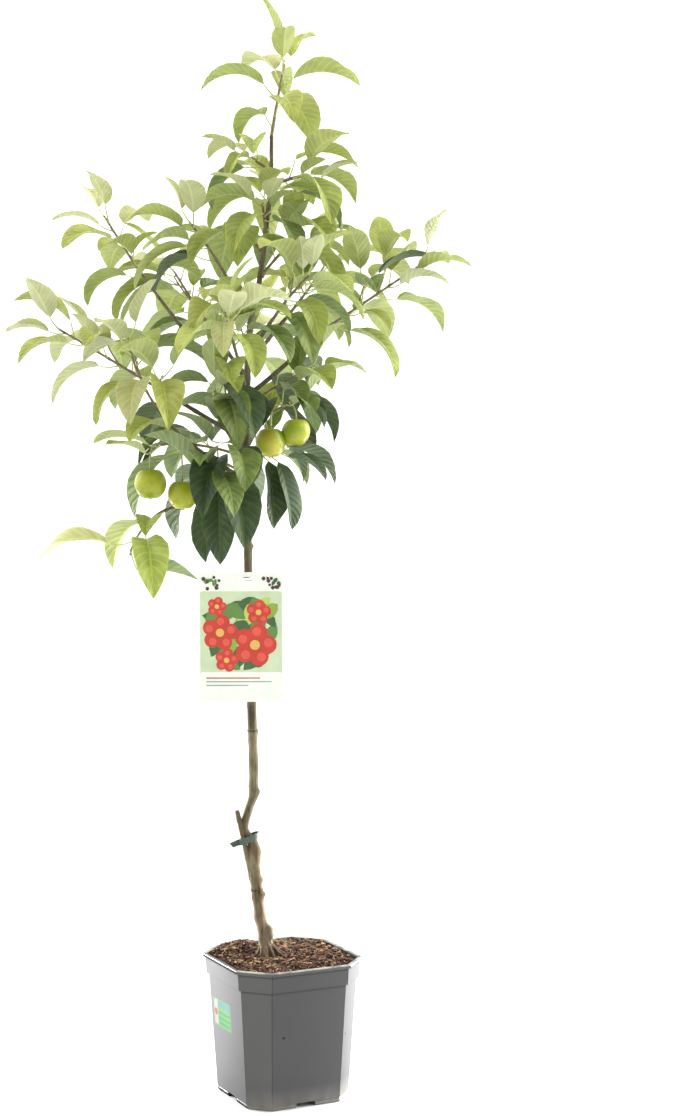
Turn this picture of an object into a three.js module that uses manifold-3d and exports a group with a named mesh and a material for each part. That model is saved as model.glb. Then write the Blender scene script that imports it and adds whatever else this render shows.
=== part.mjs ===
// Dwarf apple tree in a square container pot.
// Millimetres, +Z up, front towards -Y. The origin is the centre of the pot's underside.

import * as THREE from "three";
import { mergeVertices } from "three/addons/utils/BufferGeometryUtils.js";
import Module from "manifold-3d";

const wasm = await Module();
wasm.setup();

// ---------------------------------------------------------------- driving dimensions

const GAP = 0.3; // air left between neighbouring pieces

const POT = {
  turn: 24.6, // degrees, front wall swung towards the right
  wall: 2,
  floor: 9,
  height: 193,
  // height, width across flats, width of each cut corner
  outside: [
    [0, 149.5, 35],
    [3, 152, 36],
    [9, 154, 37.5],
    [164.6, 173.4, 44.5],
    [165, 180.6, 48],
    [187.4, 183.6, 49.4],
    [188.2, 188.6, 50.6],
    [191.6, 190, 51],
    [193, 189.4, 50.8],
  ],
  notch: { width: 28, depth: 12, height: 6.5 },
  drain: { radius: 5, out: 38 },
};

const SOIL = { edge: 187.5, top: 190.5, rise: 30 };

// Trunk: height, x, y, radius at each bend
const TRUNK = [
  [184, -17, 2, 8.6],
  [236, -28.6, 7, 8.2],
  [304, -38, 13, 7.5],
  [349, -42, 16, 7.2],
  [366, -52.5, 16, 6.0],
  [392, -46.5, 16.5, 5.8],
  [415, -39.8, 17, 6.2],
  [544, -42, 17, 5.9],
  [919, -48.8, 14, 4.9],
  [1066, -41.7, 11, 4.1],
  [1123, -29.5, 10, 3.6],
  [1247, -14.6, 8, 2.9],
  [1314, -13.1, 7, 2.4],
];
const TRUNK_SIDES = 10;
const FOOT_RINGS = { to: 434, step: 10 };
const STEM_RINGS = { step: 40 };
const FLARE = { height: 32, spread: 1.0, lobes: 3, lobe: 0.24, turn: 40 };
// Knots: height, side in degrees, how far it stands out, how tall it is
const KNOTS = [
  [224, -12, 6.5, 8],
  [243, 185, 2, 6],
  [274, 0, 2.4, 6],
  [296, 5, 1.8, 6],
  [337, -8, 3.6, 9],
  [415, 0, 2.4, 7],
  [499, 10, 1, 6],
  [758, 0, 1.4, 6],
];

const STUB = {
  foot: [-40, 14, 288],
  head: [-62.4, 12, 392],
  radius: [4.2, 3.3],
  sides: 8,
  rings: 4,
};

// Height at the stub, and how steeply the band climbs from there to the trunk
const TIE = { z: 350, slope: 0.36, height: 9, thick: 1.2, clear: 0.8, swelling: 2.2, tail: 14 };

const LABEL = {
  width: 115,
  height: 178.4,
  thick: 0.8,
  corner: 4,
  centre: [-56, 4, 633.3],
  slot: { x: 6, width: 20, height: 5, down: 9 },
};
const STRAP = { height: 3, thick: 0.6, trunk: 7, front: 5 };

// Boughs: height on the trunk, heading, rise at foot and tip, length, radius at foot and tip
const BOUGHS = {
  bough_left_long: [902, 192, 30, 31, 118, 3.4, 2.6],
  bough_left_upper: [952, 163, 47, 52, 196, 3.3, 2.2],
  bough_left_front: [850, 214, 22, 38, 122, 3.0, 2.3],
  bough_left_low: [824, 196, 4, -20, 118, 2.8, 2.1],
  bough_right_long: [962, 6, 38, 44, 134, 3.5, 2.7],
  bough_upper_left: [1074, 200, 52, 58, 66, 2.6, 2.1],
  bough_front: [966, 262, 34, 30, 92, 3.2, 2.5],
  bough_front_right: [1016, 308, 44, 40, 78, 2.9, 2.3],
  bough_back: [930, 88, 36, 34, 110, 3.3, 2.5],
  bough_back_left: [989, 132, 40, 44, 96, 3.0, 2.3],
  bough_back_right: [1004, 48, 42, 40, 104, 3.0, 2.3],
};
const BOUGH_SIDES = 6;
const LIMB_STEPS = 8;

// Masses: where the stem starts (a bough's tip, the trunk's tip or a height on the trunk), its
// heading, rise at foot and tip, length, leaves, side spurs, leaf length, lift of the older leaves
const MASSES = {
  leaves_top: ["trunk_tip", 25, 80, 78, 100, 9, 0, 94, 4],
  leaves_top_left: [1266, 190, 40, 30, 34, 4, 0, 84, -5],
  leaves_top_right: [1247, 350, 25, 10, 46, 6, 0, 92, 8],
  leaves_top_front: [1184, 265, 45, 30, 55, 6, 0, 90, 0],
  leaves_top_back: [1209, 85, 45, 30, 60, 6, 0, 90, 5],
  leaves_spur_left: [1160, 184, 40, 20, 56, 6, 0, 92, -10],
  leaves_spur_right: [1124, 20, 50, 45, 74, 8, 0, 94, 0],
  leaves_upper_left: ["bough_upper_left", 200, 58, 50, 80, 9, 0, 92, 5],
  leaves_left_upper: ["bough_left_upper", 163, 52, 58, 132, 9, 0, 90, 10],
  leaves_left_long: ["bough_left_long", 192, 31, 30, 176, 13, 1, 96, 5],
  leaves_left_low: ["bough_left_low", 205, -26, -70, 74, 4, 0, 112, 10],
  leaves_low_left: [846, 230, 20, -10, 84, 9, 0, 104, -50],
  leaves_low_right: [880, 318, 24, 4, 58, 7, 0, 90, -50],
  leaves_low_centre: [884, 248, 30, 5, 58, 8, 0, 106, -50],
  leaves_fruit_left: [878, 208, 22, -5, 132, 9, 1, 96, -25],
  leaves_low_front: [920, 322, 26, 22, 82, 9, 1, 96, -50],
  leaves_left_front: ["bough_left_front", 214, 38, 76, 148, 12, 2, 98, -15],
  leaves_mid_left: [932, 238, 34, 16, 82, 9, 1, 100, -45],
  leaves_mid_right: [950, 358, 34, 26, 104, 9, 1, 96, -30],
  leaves_low_back: [876, 75, 25, 5, 80, 9, 1, 98, -45],
  leaves_low_back_left: [854, 140, 30, 5, 82, 8, 1, 98, -45],
  leaves_right_long: ["bough_right_long", 2, 34, 34, 164, 14, 2, 98, 6],
  leaves_front: ["bough_front", 262, 30, 20, 110, 12, 1, 96, -5],
  leaves_front_right: ["bough_front_right", 308, 40, 30, 92, 11, 1, 96, -5],
  leaves_back: ["bough_back", 88, 34, 40, 130, 13, 1, 96, -5],
  leaves_back_left: ["bough_back_left", 132, 44, 48, 120, 12, 1, 96, -5],
  leaves_back_right: ["bough_back_right", 48, 40, 46, 110, 12, 1, 96, -5],
};
// Fruit: how far along the stem it hangs, heading, reach out, drop, radius
const FRUIT = {
  leaves_low_front: [
    [0.9, 217, 24, 50, 20.5],
    [0.9, 326, 18, 36, 19],
  ],
  leaves_fruit_left: [
    [1, 200, 14, 52, 21],
    [0.8, 300, 12, 68, 20],
  ],
};
const APPLE = { tall: 1.06, sides: 8, rings: 5, sunk: 4 };

// How a leaf grows. Angles in degrees, lengths as shares of the leaf's own.
const LEAF = {
  turn: 144, // from each leaf to the next round the stem
  turnSpread: 20,
  open: 58, // between stem and petiole
  openSpread: 12,
  close: 22, // less at the stem's tip
  petiole: 0.24,
  petioleSpread: 0.08,
  petioleUp: 0.3,
  sizeSpread: 0.28,
  young: 0.3, // how much shorter at the stem's tip
  follow: 0.5, // share of the petiole's rise that the blade keeps
  rise: -6,
  riseYoung: 46,
  riseSpread: 24,
  steepest: 84,
  arch: 92,
  archYoung: 50,
  archSpread: 24,
  hang: 88,
  curlSpread: 24,
  rollSpread: 30,
  half: 0.26,
  halfSpread: 0.04,
  fold: 20,
  foldSpread: 18,
  foldYoung: 4,
  thick: 0.9, // half thickness at the midrib, mm
  rings: [2, 4], // stations where the solid blade has a ring
};
const SEED = 61; // of the first mass's dice; each further mass takes the next number
const STATIONS = 6; // steps along a blade
const TRIES = [0, 25, -25, 50, -50, 75, -75]; // swings tried before a leaf is skipped
const CLEAR = { limb: 5, stem: 4, own: 5, other: 10, fruit: 3, reach: 0.62 };
const FIRST = { trunk: 0.45, bough: 0.12 }; // where on the stem the leaves begin
const CROWD = 1.25;
const SPUR = { leaves: 3, from: 0.15, span: 0.5, length: 34, spread: 14, up: 0.25, turn: 137 };
const TWIG = { foot: 2, tip: 1.3, sides: 3 };
const PETIOLE = { foot: 0.9, tip: 0.75 };
const LABEL_GUARD = 10;
// The open space in front of a fruit, in its radii: half width, start and end
const OPEN_SIDE = { half: 0.55, from: 1, to: 5 };
// Where a wing is tested against its neighbours: station and share of its width
const PROBES = [
  [1, 0.9],
  [2, 0.5],
  [2, 0.95],
  [3, 0.5],
  [3, 0.95],
  [4, 0.5],
  [4, 0.95],
  [5, 0.9],
];

// ---------------------------------------------------------------- small helpers

const UP = new THREE.Vector3(0, 0, 1);
const radians = (degrees) => (degrees * Math.PI) / 180;
const vec = (x, y, z) => new THREE.Vector3(x, y, z);

function heading(azimuth, rise) {
  const a = radians(azimuth);
  const r = radians(rise);
  return vec(Math.cos(a) * Math.cos(r), Math.sin(a) * Math.cos(r), Math.sin(r));
}

// Numbers from 0 to 1, the same every time for one seed
function dice(seed) {
  let state = (seed * 7919 + 104729) % 2147483647;
  const roll = () => {
    state = (state * 48271) % 2147483647;
    return state / 2147483647;
  };
  for (let i = 0; i < 6; i++) roll();
  return roll;
}

// A point and the direction at share s of a path
function along(path, s) {
  const last = path.length - 1;
  const k = s * last;
  const i = Math.min(Math.floor(k), last - 1);
  return {
    point: path[i].clone().lerp(path[i + 1], k - i),
    direction: path[i + 1].clone().sub(path[i]).normalize(),
  };
}

function segmentDistance(p, a, b) {
  const ab = b.clone().sub(a);
  const t = Math.min(1, Math.max(0, p.clone().sub(a).dot(ab) / ab.dot(ab)));
  return p.distanceTo(a.clone().lerp(b, t));
}

// Two directions square to a stem: one level, one leaning up
function across(direction) {
  const pole = Math.abs(direction.z) < 0.96 ? UP : vec(1, 0, 0);
  const level = pole.clone().cross(direction).normalize();
  return [level, direction.clone().cross(level)];
}

// The trunk's centre and radius at a height, on a smooth line through its bends
function trunkAt(z) {
  const last = TRUNK.length - 1;
  let i = 0;
  while (i < last - 1 && z > TRUNK[i + 1][0]) i++;
  const before = TRUNK[Math.max(i - 1, 0)];
  const low = TRUNK[i];
  const high = TRUNK[i + 1];
  const after = TRUNK[Math.min(i + 2, last)];
  const span = high[0] - low[0];
  const t = (z - low[0]) / span;
  const blend = (j) => {
    const m0 = ((high[j] - before[j]) / (high[0] - before[0])) * span;
    const m1 = ((after[j] - low[j]) / (after[0] - low[0])) * span;
    const t2 = t * t;
    const t3 = t2 * t;
    return (
      (2 * t3 - 3 * t2 + 1) * low[j] +
      (t3 - 2 * t2 + t) * m0 +
      (-2 * t3 + 3 * t2) * high[j] +
      (t3 - t2) * m1
    );
  };
  return { point: vec(blend(1), blend(2), z), radius: blend(3) };
}

function limbPath(start, azimuth, riseFoot, riseTip, length) {
  const path = [start.clone()];
  for (let i = 0; i < LIMB_STEPS; i++) {
    const rise = riseFoot + ((riseTip - riseFoot) * (i + 0.5)) / LIMB_STEPS;
    const step = heading(azimuth, rise).multiplyScalar(length / LIMB_STEPS);
    path.push(path[i].clone().add(step));
  }
  return path;
}

// ---------------------------------------------------------------- growth rule

// Half width of a blade at share t of its length, with 1 at the widest
function outline(t) {
  if (t <= 0 || t >= 1) return 0;
  return Math.pow(Math.sin(Math.PI * Math.pow(t, 0.86)), 0.82) * (1 - 0.12 * t);
}

// Centre line of a blade, with the directions of its left wing and of its upper face
function bladeFrames(leaf) {
  const frames = [];
  let point = leaf.base;
  const bearing = (t) => heading(leaf.head + leaf.curl * t, leaf.rise - leaf.arch * t);
  for (let i = 0; i <= STATIONS; i++) {
    const forward = bearing(i / STATIONS);
    const side =
      Math.abs(forward.z) < 0.999
        ? forward.clone().cross(UP).normalize()
        : vec(Math.sin(radians(leaf.head)), -Math.cos(radians(leaf.head)), 0);
    const normal = side.clone().cross(forward);
    const c = Math.cos(radians(leaf.roll));
    const s = Math.sin(radians(leaf.roll));
    frames.push({
      point,
      side: side.clone().multiplyScalar(c).addScaledVector(normal, s),
      normal: normal.clone().multiplyScalar(c).addScaledVector(side, -s),
    });
    const next = bearing((i + 0.5) / STATIONS).multiplyScalar(leaf.length / STATIONS);
    point = point.clone().add(next);
  }
  return frames;
}

// A point on a blade's wing: side is 1 or -1
function wingPoint(leaf, station, side, share) {
  const { point, side: out, normal } = leaf.frames[station];
  const width = leaf.half * outline(station / STATIONS) * share;
  const fold = radians(leaf.fold);
  return point
    .clone()
    .addScaledVector(out, side * width * Math.cos(fold))
    .addScaledVector(normal, width * Math.sin(fold));
}

function makeLeaf(mass, stemPoint, direction, azimuth, age, roll) {
  const [level, leaning] = across(direction);
  const radial = level
    .multiplyScalar(Math.cos(radians(azimuth)))
    .addScaledVector(leaning, Math.sin(radians(azimuth)));
  const young = age * age;
  const open = radians(LEAF.open + LEAF.openSpread * (roll() - 0.5) - LEAF.close * young);
  const out = direction
    .clone()
    .multiplyScalar(Math.cos(open))
    .addScaledVector(radial, Math.sin(open))
    .normalize();
  const petiole = (LEAF.petiole + LEAF.petioleSpread * roll()) * mass.leaf;
  const bent = out.clone().addScaledVector(UP, LEAF.petioleUp).normalize();
  const middle = stemPoint.clone().addScaledVector(out, petiole / 2);
  const base = middle.clone().addScaledVector(bent, petiole / 2);
  const size = mass.leaf * (1 - LEAF.sizeSpread / 2 + LEAF.sizeSpread * roll());
  const length = size * (1 - LEAF.young * young * age);
  const level0 = (Math.asin(bent.z) * 180) / Math.PI;
  const rise = Math.min(
    LEAF.steepest,
    level0 * LEAF.follow +
      mass.lift * (1 - age) +
      LEAF.riseYoung * young +
      LEAF.rise +
      LEAF.riseSpread * (roll() - 0.5),
  );
  const arch = LEAF.arch - LEAF.archYoung * young + LEAF.archSpread * (roll() - 0.5);
  const leaf = {
    base,
    petiole: [stemPoint, middle, base],
    head: (Math.atan2(bent.y, bent.x) * 180) / Math.PI,
    rise,
    arch: Math.min(arch, rise + LEAF.hang),
    curl: LEAF.curlSpread * (roll() - 0.5),
    roll: LEAF.rollSpread * (roll() - 0.5),
    length,
    half: length * (LEAF.half + LEAF.halfSpread * roll()),
    fold: LEAF.fold + LEAF.foldSpread * roll() - LEAF.foldYoung * age,
    age,
  };
  leaf.frames = bladeFrames(leaf);
  leaf.probes = leaf.frames.map((frame) => frame.point);
  leaf.probes.push(middle, middle.clone().lerp(base, 0.5));
  for (const [station, share] of PROBES)
    for (const side of [1, -1]) leaf.probes.push(wingPoint(leaf, station, side, share));
  return leaf;
}

// Whether any probe comes closer to a limb than the gap given
function meetsLimb(probes, limb, gap) {
  const last = limb.path.length - 1;
  return probes.some((probe) =>
    limb.path.slice(0, last).some((point, i) => {
      const radius = limb.foot + ((limb.tip - limb.foot) * i) / last;
      return segmentDistance(probe, point, limb.path[i + 1]) < radius + gap;
    }),
  );
}

function meetsLeaf(leaf, other, gap) {
  const far = CLEAR.reach * (leaf.length + other.length) + gap;
  if (leaf.probes[3].distanceTo(other.probes[3]) > far) return false;
  return leaf.probes.some((a) => other.probes.some((b) => a.distanceTo(b) < gap));
}

// The shoots of one mass: its stem and spurs, and where each leaf stands on them
function planShoots(mass, roll) {
  const first = typeof mass.on === "number" ? FIRST.trunk : FIRST.bough;
  const phase = 360 * roll();
  const onStem = mass.leaves - mass.spurs * SPUR.leaves;
  const twigs = [];
  const places = [];
  for (let i = 0; i < onStem; i++) {
    const age = i / (onStem - 1);
    const s = first + (1 - first) * (1 - Math.pow(1 - age, CROWD));
    places.push({ path: mass.stem, s, azimuth: phase + LEAF.turn * i, age });
  }
  for (let j = 0; j < mass.spurs; j++) {
    const s = first + (1 - first) * (SPUR.from + (SPUR.span * (j + 0.5)) / mass.spurs);
    const { point, direction } = along(mass.stem, s);
    const [level, leaning] = across(direction);
    const azimuth = radians(phase + 180 * j + 2 * LEAF.turnSpread * (roll() - 0.5));
    const out = level
      .multiplyScalar(Math.cos(azimuth))
      .addScaledVector(leaning, Math.abs(Math.sin(azimuth)))
      .add(direction)
      .normalize();
    const half = (SPUR.length + SPUR.spread * roll()) / 2;
    const bent = out.clone().addScaledVector(UP, SPUR.up).normalize();
    const middle = point.clone().addScaledVector(out, half);
    const twig = [point, middle, middle.clone().addScaledVector(bent, half)];
    twigs.push(twig);
    for (let i = 0; i < SPUR.leaves; i++) {
      const share = i / (SPUR.leaves - 1);
      places.push({
        path: twig,
        s: 0.7 + 0.3 * share,
        azimuth: 360 * roll() + SPUR.turn * i,
        age: 0.35 + 0.65 * share,
      });
    }
  }
  return { twigs, places };
}

function growCrown() {
  const tips = {};
  const lean = (path) => path.at(-1).clone().sub(path.at(-2)).normalize();
  const heights = [];
  for (let z = TRUNK[0][0]; z < TRUNK.at(-1)[0]; z += STEM_RINGS.step) heights.push(z);
  heights.push(TRUNK.at(-1)[0]);
  const trunk = {
    path: heights.map((z) => trunkAt(z).point),
    foot: TRUNK[0][3],
    tip: TRUNK.at(-1)[3],
  };
  tips.trunk_tip = trunk.path;
  const boughs = {};
  for (const [name, row] of Object.entries(BOUGHS)) {
    const [height, azimuth, riseFoot, riseTip, length, foot, tip] = row;
    const start = trunkAt(height).point;
    boughs[name] = { path: limbPath(start, azimuth, riseFoot, riseTip, length), foot, tip };
    tips[name] = boughs[name].path;
  }
  const masses = {};
  for (const [name, row] of Object.entries(MASSES)) {
    const [on, azimuth, riseFoot, riseTip, length, leaves, spurs, leaf, lift] = row;
    const start =
      typeof on === "number"
        ? trunkAt(on).point
        : tips[on].at(-1).clone().addScaledVector(lean(tips[on]), GAP + 0.1);
    const stem = limbPath(start, azimuth, riseFoot, riseTip, length);
    masses[name] = { on, leaves, spurs, leaf, lift, stem, twigs: [], foliage: [], fruit: [] };
    for (const [s, side, reach, drop, radius] of FRUIT[name] ?? []) {
      const { point } = along(stem, Math.min(s, 0.9999));
      const out = point.clone().addScaledVector(heading(side, 0), reach);
      const centre = vec(out.x, out.y, out.z - drop);
      masses[name].fruit.push({ point, out, centre, radius });
    }
  }
  const apples = Object.values(masses).flatMap((mass) => mass.fruit);
  const limbs = [trunk, ...Object.values(boughs), labelGuard(), ...apples.map(openSide)];
  const grown = [];
  for (const [i, mass] of Object.values(masses).entries()) {
    const roll = dice(SEED + i);
    const stemLimb = { path: mass.stem, foot: TWIG.foot, tip: TWIG.tip };
    const others = Object.values(masses)
      .filter((other) => other !== mass)
      .flatMap((other) => [other.stem, ...other.twigs])
      .map((path) => ({ path, foot: TWIG.foot, tip: TWIG.tip }));
    const foreign = limbs.concat(others);
    const { twigs, places } = planShoots(mass, roll);
    const blocked = twigs.filter((twig) => {
      const spur = { path: twig, foot: TWIG.tip, tip: TWIG.tip };
      return (
        foreign.some((limb) => meetsLimb(twig.slice(1), limb, CLEAR.limb)) ||
        grown.some(({ leaf }) => meetsLimb(leaf.probes, spur, CLEAR.limb))
      );
    });
    mass.twigs = twigs.filter((twig) => !blocked.includes(twig));
    const fits = (leaf) =>
      !foreign.some((limb) => meetsLimb(leaf.probes, limb, CLEAR.limb)) &&
      !meetsLimb(leaf.probes.slice(1), stemLimb, CLEAR.stem) &&
      !apples.some((apple) =>
        leaf.probes.some((p) => p.distanceTo(apple.centre) < apple.radius + CLEAR.fruit),
      ) &&
      !grown.some((other) =>
        meetsLeaf(leaf, other.leaf, other.mass === mass ? CLEAR.own : CLEAR.other),
      );
    for (const place of places.filter(({ path }) => !blocked.includes(path))) {
      const { point, direction } = along(place.path, Math.min(place.s, 0.9999));
      for (const swing of TRIES) {
        const azimuth = place.azimuth + swing + LEAF.turnSpread * (roll() - 0.5);
        const leaf = makeLeaf(mass, point, direction, azimuth, place.age, roll);
        if (!fits(leaf)) continue;
        mass.foliage.push(leaf);
        grown.push({ mass, leaf });
        break;
      }
    }
  }
  return { boughs, masses };
}

// Fruit hangs in the open: leaves keep off its front side
function openSide({ centre, radius }) {
  const { half, from, to } = OPEN_SIDE;
  const path = [from, to].map((reach) => centre.clone().add(vec(0, -reach * radius, 0)));
  return { path, foot: half * radius, tip: half * radius };
}

// Leaves keep off the card that hangs on the trunk
function labelGuard() {
  const [x, y, z] = LABEL.centre;
  const top = z + LABEL.height / 2 - LABEL_GUARD;
  const path = [vec(x - LABEL.width / 2, y, top), vec(x + LABEL.width / 2, y, top)];
  return { path, foot: LABEL_GUARD, tip: LABEL_GUARD };
}

// ---------------------------------------------------------------- solids

// A solid from a closed geometry; triangles that a pole has pinched to a line are dropped
function solidOf(geometry) {
  geometry.deleteAttribute("normal");
  geometry.deleteAttribute("uv");
  const merged = mergeVertices(geometry, 1e-4);
  const index = merged.index.array;
  const triVerts = [];
  for (let i = 0; i < index.length; i += 3) {
    const corners = index.slice(i, i + 3);
    if (new Set(corners).size === 3) triVerts.push(...corners);
  }
  return new wasm.Manifold(
    new wasm.Mesh({
      numProp: 3,
      vertProperties: merged.attributes.position.array,
      triVerts: new Uint32Array(triVerts),
    }),
  );
}

function join(solids) {
  return solids.reduce((whole, solid) => whole.add(solid));
}

// A closed body through rings of points, each ring counter-clockwise seen from ahead
function ringSolid(rings) {
  const sides = rings[0].length;
  const geometry = new THREE.CylinderGeometry(1, 1, 1, sides, rings.length - 1);
  const centres = rings.map((ring) =>
    ring.reduce((sum, p) => sum.add(p), vec(0, 0, 0)).divideScalar(sides),
  );
  const position = geometry.attributes.position;
  for (let v = 0; v < position.count; v++) {
    const x = position.getX(v);
    const z = position.getZ(v);
    const ring = Math.round((position.getY(v) + 0.5) * (rings.length - 1));
    const turn = Math.round((Math.atan2(x, z) / (2 * Math.PI)) * sides);
    const onAxis = Math.hypot(x, z) < 0.5;
    const p = onAxis ? centres[ring] : rings[ring][(turn + sides) % sides];
    position.setXYZ(v, p.x, p.y, p.z);
  }
  return solidOf(geometry);
}

// A limb along a path, round unless the radius is a function of ring and angle
function limbSolid(path, radius, sides) {
  const last = path.length - 1;
  let level = null;
  const rings = path.map((point, i) => {
    const ahead = path[Math.min(i + 1, last)].clone().sub(path[Math.max(i - 1, 0)]).normalize();
    level = level
      ? level.addScaledVector(ahead, -level.dot(ahead)).normalize()
      : across(ahead)[0];
    const leaning = ahead.clone().cross(level);
    return Array.from({ length: sides }, (_, k) => {
      const angle = (2 * Math.PI * k) / sides;
      return point
        .clone()
        .addScaledVector(level, radius(i, angle) * Math.cos(angle))
        .addScaledVector(leaning, radius(i, angle) * Math.sin(angle));
    });
  });
  return ringSolid(rings);
}

const taper = (foot, tip, last) => (i) => foot + ((tip - foot) * i) / last;

// A leaf: petiole, then a folded blade with a thick midrib that ends in a point
function leafSolid(leaf) {
  const { point, side, normal } = leaf.frames[0];
  const foot = leaf.petiole[0];
  const out = point.clone().sub(foot).normalize();
  const level = side.clone().addScaledVector(out, -side.dot(out)).normalize();
  const leaning = level.clone().cross(out);
  const stalk = (centre, a, b, radius) => {
    const [x, y] = [radius * Math.cos(radians(30)), radius / 2];
    const at = (u, v) => centre.clone().addScaledVector(a, u).addScaledVector(b, v);
    return [at(0, radius), at(x, -y), at(-x, -y), at(-x, -y)];
  };
  const blade = LEAF.rings.map((station) => {
    const frame = leaf.frames[station];
    const rib = (up) => frame.point.clone().addScaledVector(frame.normal, up * LEAF.thick);
    return [rib(1), wingPoint(leaf, station, 1, 1), rib(-1), wingPoint(leaf, station, -1, 1)];
  });
  const tip = leaf.frames[STATIONS].point;
  return ringSolid([
    stalk(foot, level, leaning, PETIOLE.foot),
    stalk(point, side, normal, PETIOLE.tip),
    ...blade,
    [tip, tip, tip, tip],
  ]);
}

function appleSolids(fruit) {
  const { point, out, centre, radius } = fruit;
  const geometry = new THREE.SphereGeometry(radius, APPLE.sides, APPLE.rings);
  geometry.rotateX(Math.PI / 2);
  geometry.scale(1, 1, APPLE.tall);
  geometry.translate(centre.x, centre.y, centre.z);
  const crown = centre.z + radius * APPLE.tall - APPLE.sunk;
  const shoulder = point.clone().lerp(out, 0.7);
  const stalk = [point, shoulder, vec(centre.x, centre.y, crown)];
  return [solidOf(geometry), limbSolid(stalk, () => PETIOLE.foot, 3)];
}

// ---------------------------------------------------------------- pot, soil and fittings

// A square with cut corners, counter-clockwise from above
function octagon(width, cut, z) {
  const half = width / 2;
  const leg = cut / Math.SQRT2;
  const corner = [
    [half, -half + leg],
    [half, half - leg],
  ];
  return [0, 1, 2, 3].flatMap((quarter) =>
    corner.map(([x, y]) => vec(x, y, z).applyAxisAngle(UP, (quarter * Math.PI) / 2)),
  );
}

// A ring a distance inside one of the pot's outside rows
function insetRing([z, width, cut], inset, height = z) {
  return octagon(width - 2 * inset, cut - 2 * inset * (Math.SQRT2 - 1), height);
}

// The rings of what fits inside the pot, a gap clear of its wall, up to the ledge under the rim
function insideRings(gap) {
  const inset = POT.wall + gap;
  const [, , foot, ledge, band] = POT.outside;
  return [
    insetRing(foot, inset, POT.floor + gap),
    insetRing(ledge, inset, ledge[0] + inset),
    insetRing(band, inset, band[0] + inset),
  ];
}

function potSolid() {
  const outside = ringSolid(POT.outside.map((row) => octagon(row[1], row[2], row[0])));
  const neck = POT.outside[5];
  const mouth = [0, 1].map((over) => insetRing(neck, POT.wall, POT.height + over));
  let pot = outside.subtract(ringSolid([...insideRings(0), ...mouth]));
  const { width, depth, height } = POT.notch;
  for (let side = 0; side < 4; side++) {
    const notch = new THREE.BoxGeometry(width, 2 * depth, height + 1);
    notch.translate(0, POT.outside[0][1] / 2, (height - 1) / 2);
    notch.rotateZ((side * Math.PI) / 2);
    pot = pot.subtract(solidOf(notch));
    const drain = new THREE.CylinderGeometry(POT.drain.radius, POT.drain.radius, 3 * POT.floor, 12);
    drain.rotateX(Math.PI / 2);
    drain.translate(POT.drain.out, POT.drain.out, 0);
    drain.rotateZ((side * Math.PI) / 2);
    pot = pot.subtract(solidOf(drain));
  }
  return pot;
}

function soilSolid() {
  const inset = POT.wall + 2 * GAP;
  const neck = POT.outside[5];
  const edge = insetRing(neck, inset, SOIL.edge);
  const top = insetRing(neck, inset + SOIL.rise, SOIL.top);
  return ringSolid([...insideRings(GAP), edge, top]);
}

function trunkSolid(extra) {
  const foot = SOIL.top + GAP;
  const heights = [foot];
  for (let z = foot + FOOT_RINGS.step; z < FOOT_RINGS.to; z += FOOT_RINGS.step) heights.push(z);
  const tip = TRUNK.at(-1)[0];
  for (let z = FOOT_RINGS.to; z < tip; z += STEM_RINGS.step) heights.push(z);
  heights.push(tip + extra);
  return ringSolid(
    heights.map((z) => {
      const { point, radius } = trunkAt(z);
      const flare = Math.max(0, 1 - (z - foot) / FLARE.height) ** 2;
      return Array.from({ length: TRUNK_SIDES }, (_, k) => {
        const angle = (2 * Math.PI * k) / TRUNK_SIDES;
        const lobe = FLARE.lobe * Math.cos(FLARE.lobes * angle + radians(FLARE.turn));
        let reach = radius * (1 + flare * (FLARE.spread + lobe)) + extra;
        for (const [height, side, out, tall] of KNOTS) {
          const facing = Math.max(0, Math.cos(angle - radians(side)));
          reach += out * facing ** 2 * Math.exp(-(((z - height) / tall) ** 2));
        }
        return point.clone().add(vec(reach * Math.cos(angle), reach * Math.sin(angle), 0));
      });
    }),
  );
}

function stubSolid() {
  const foot = vec(...STUB.foot);
  const head = vec(...STUB.head);
  const path = Array.from({ length: STUB.rings }, (_, i) =>
    foot.clone().lerp(head, i / (STUB.rings - 1)),
  );
  return limbSolid(path, taper(...STUB.radius, STUB.rings - 1), STUB.sides);
}

// The outline of a band drawn tight round two circles of [x, y, radius]
function bandOutline(circles, z, extra) {
  const sides = 24;
  return Array.from({ length: sides }, (_, k) => {
    const angle = (2 * Math.PI * k) / sides;
    const out = vec(Math.cos(angle), Math.sin(angle), 0);
    const reach = circles.map(([x, y, radius]) => x * out.x + y * out.y + radius);
    const [x, y, radius] = circles[reach[0] > reach[1] ? 0 : 1];
    return vec(x, y, z).addScaledVector(out, radius + extra);
  });
}

function bandSolid(circles, z, height, thick) {
  const ring = (extra, over) =>
    ringSolid([
      bandOutline(circles, z - height / 2 - over, extra),
      bandOutline(circles, z + height / 2 + over, extra),
    ]);
  return ring(thick, 0).subtract(ring(0, 1));
}

function tieSolid() {
  const { point, radius } = trunkAt(TIE.z);
  const foot = vec(...STUB.foot);
  const head = vec(...STUB.head);
  const stub = foot.clone().lerp(head, (TIE.z - foot.z) / (head.z - foot.z));
  const circles = [
    [point.x, point.y, radius + TIE.swelling + TIE.clear],
    [stub.x, stub.y, STUB.radius[0] + TIE.clear],
  ];
  const band = bandSolid(circles, TIE.z, TIE.height, TIE.thick);
  const left = stub.x - STUB.radius[0] - TIE.clear - TIE.thick / 2;
  const tail = [0, 1].map((face) =>
    [
      [0, -TIE.height / 2],
      [-TIE.tail * 0.65, -TIE.height / 2],
      [-TIE.tail, TIE.height * 0.35],
      [0, TIE.height / 2],
    ].map(([x, z]) => vec(left + x, stub.y + (face - 0.5) * TIE.thick, TIE.z + z)),
  );
  return band.add(ringSolid(tail)).warp((v) => {
    v[2] += TIE.slope * (v[0] - stub.x);
  });
}

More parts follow.
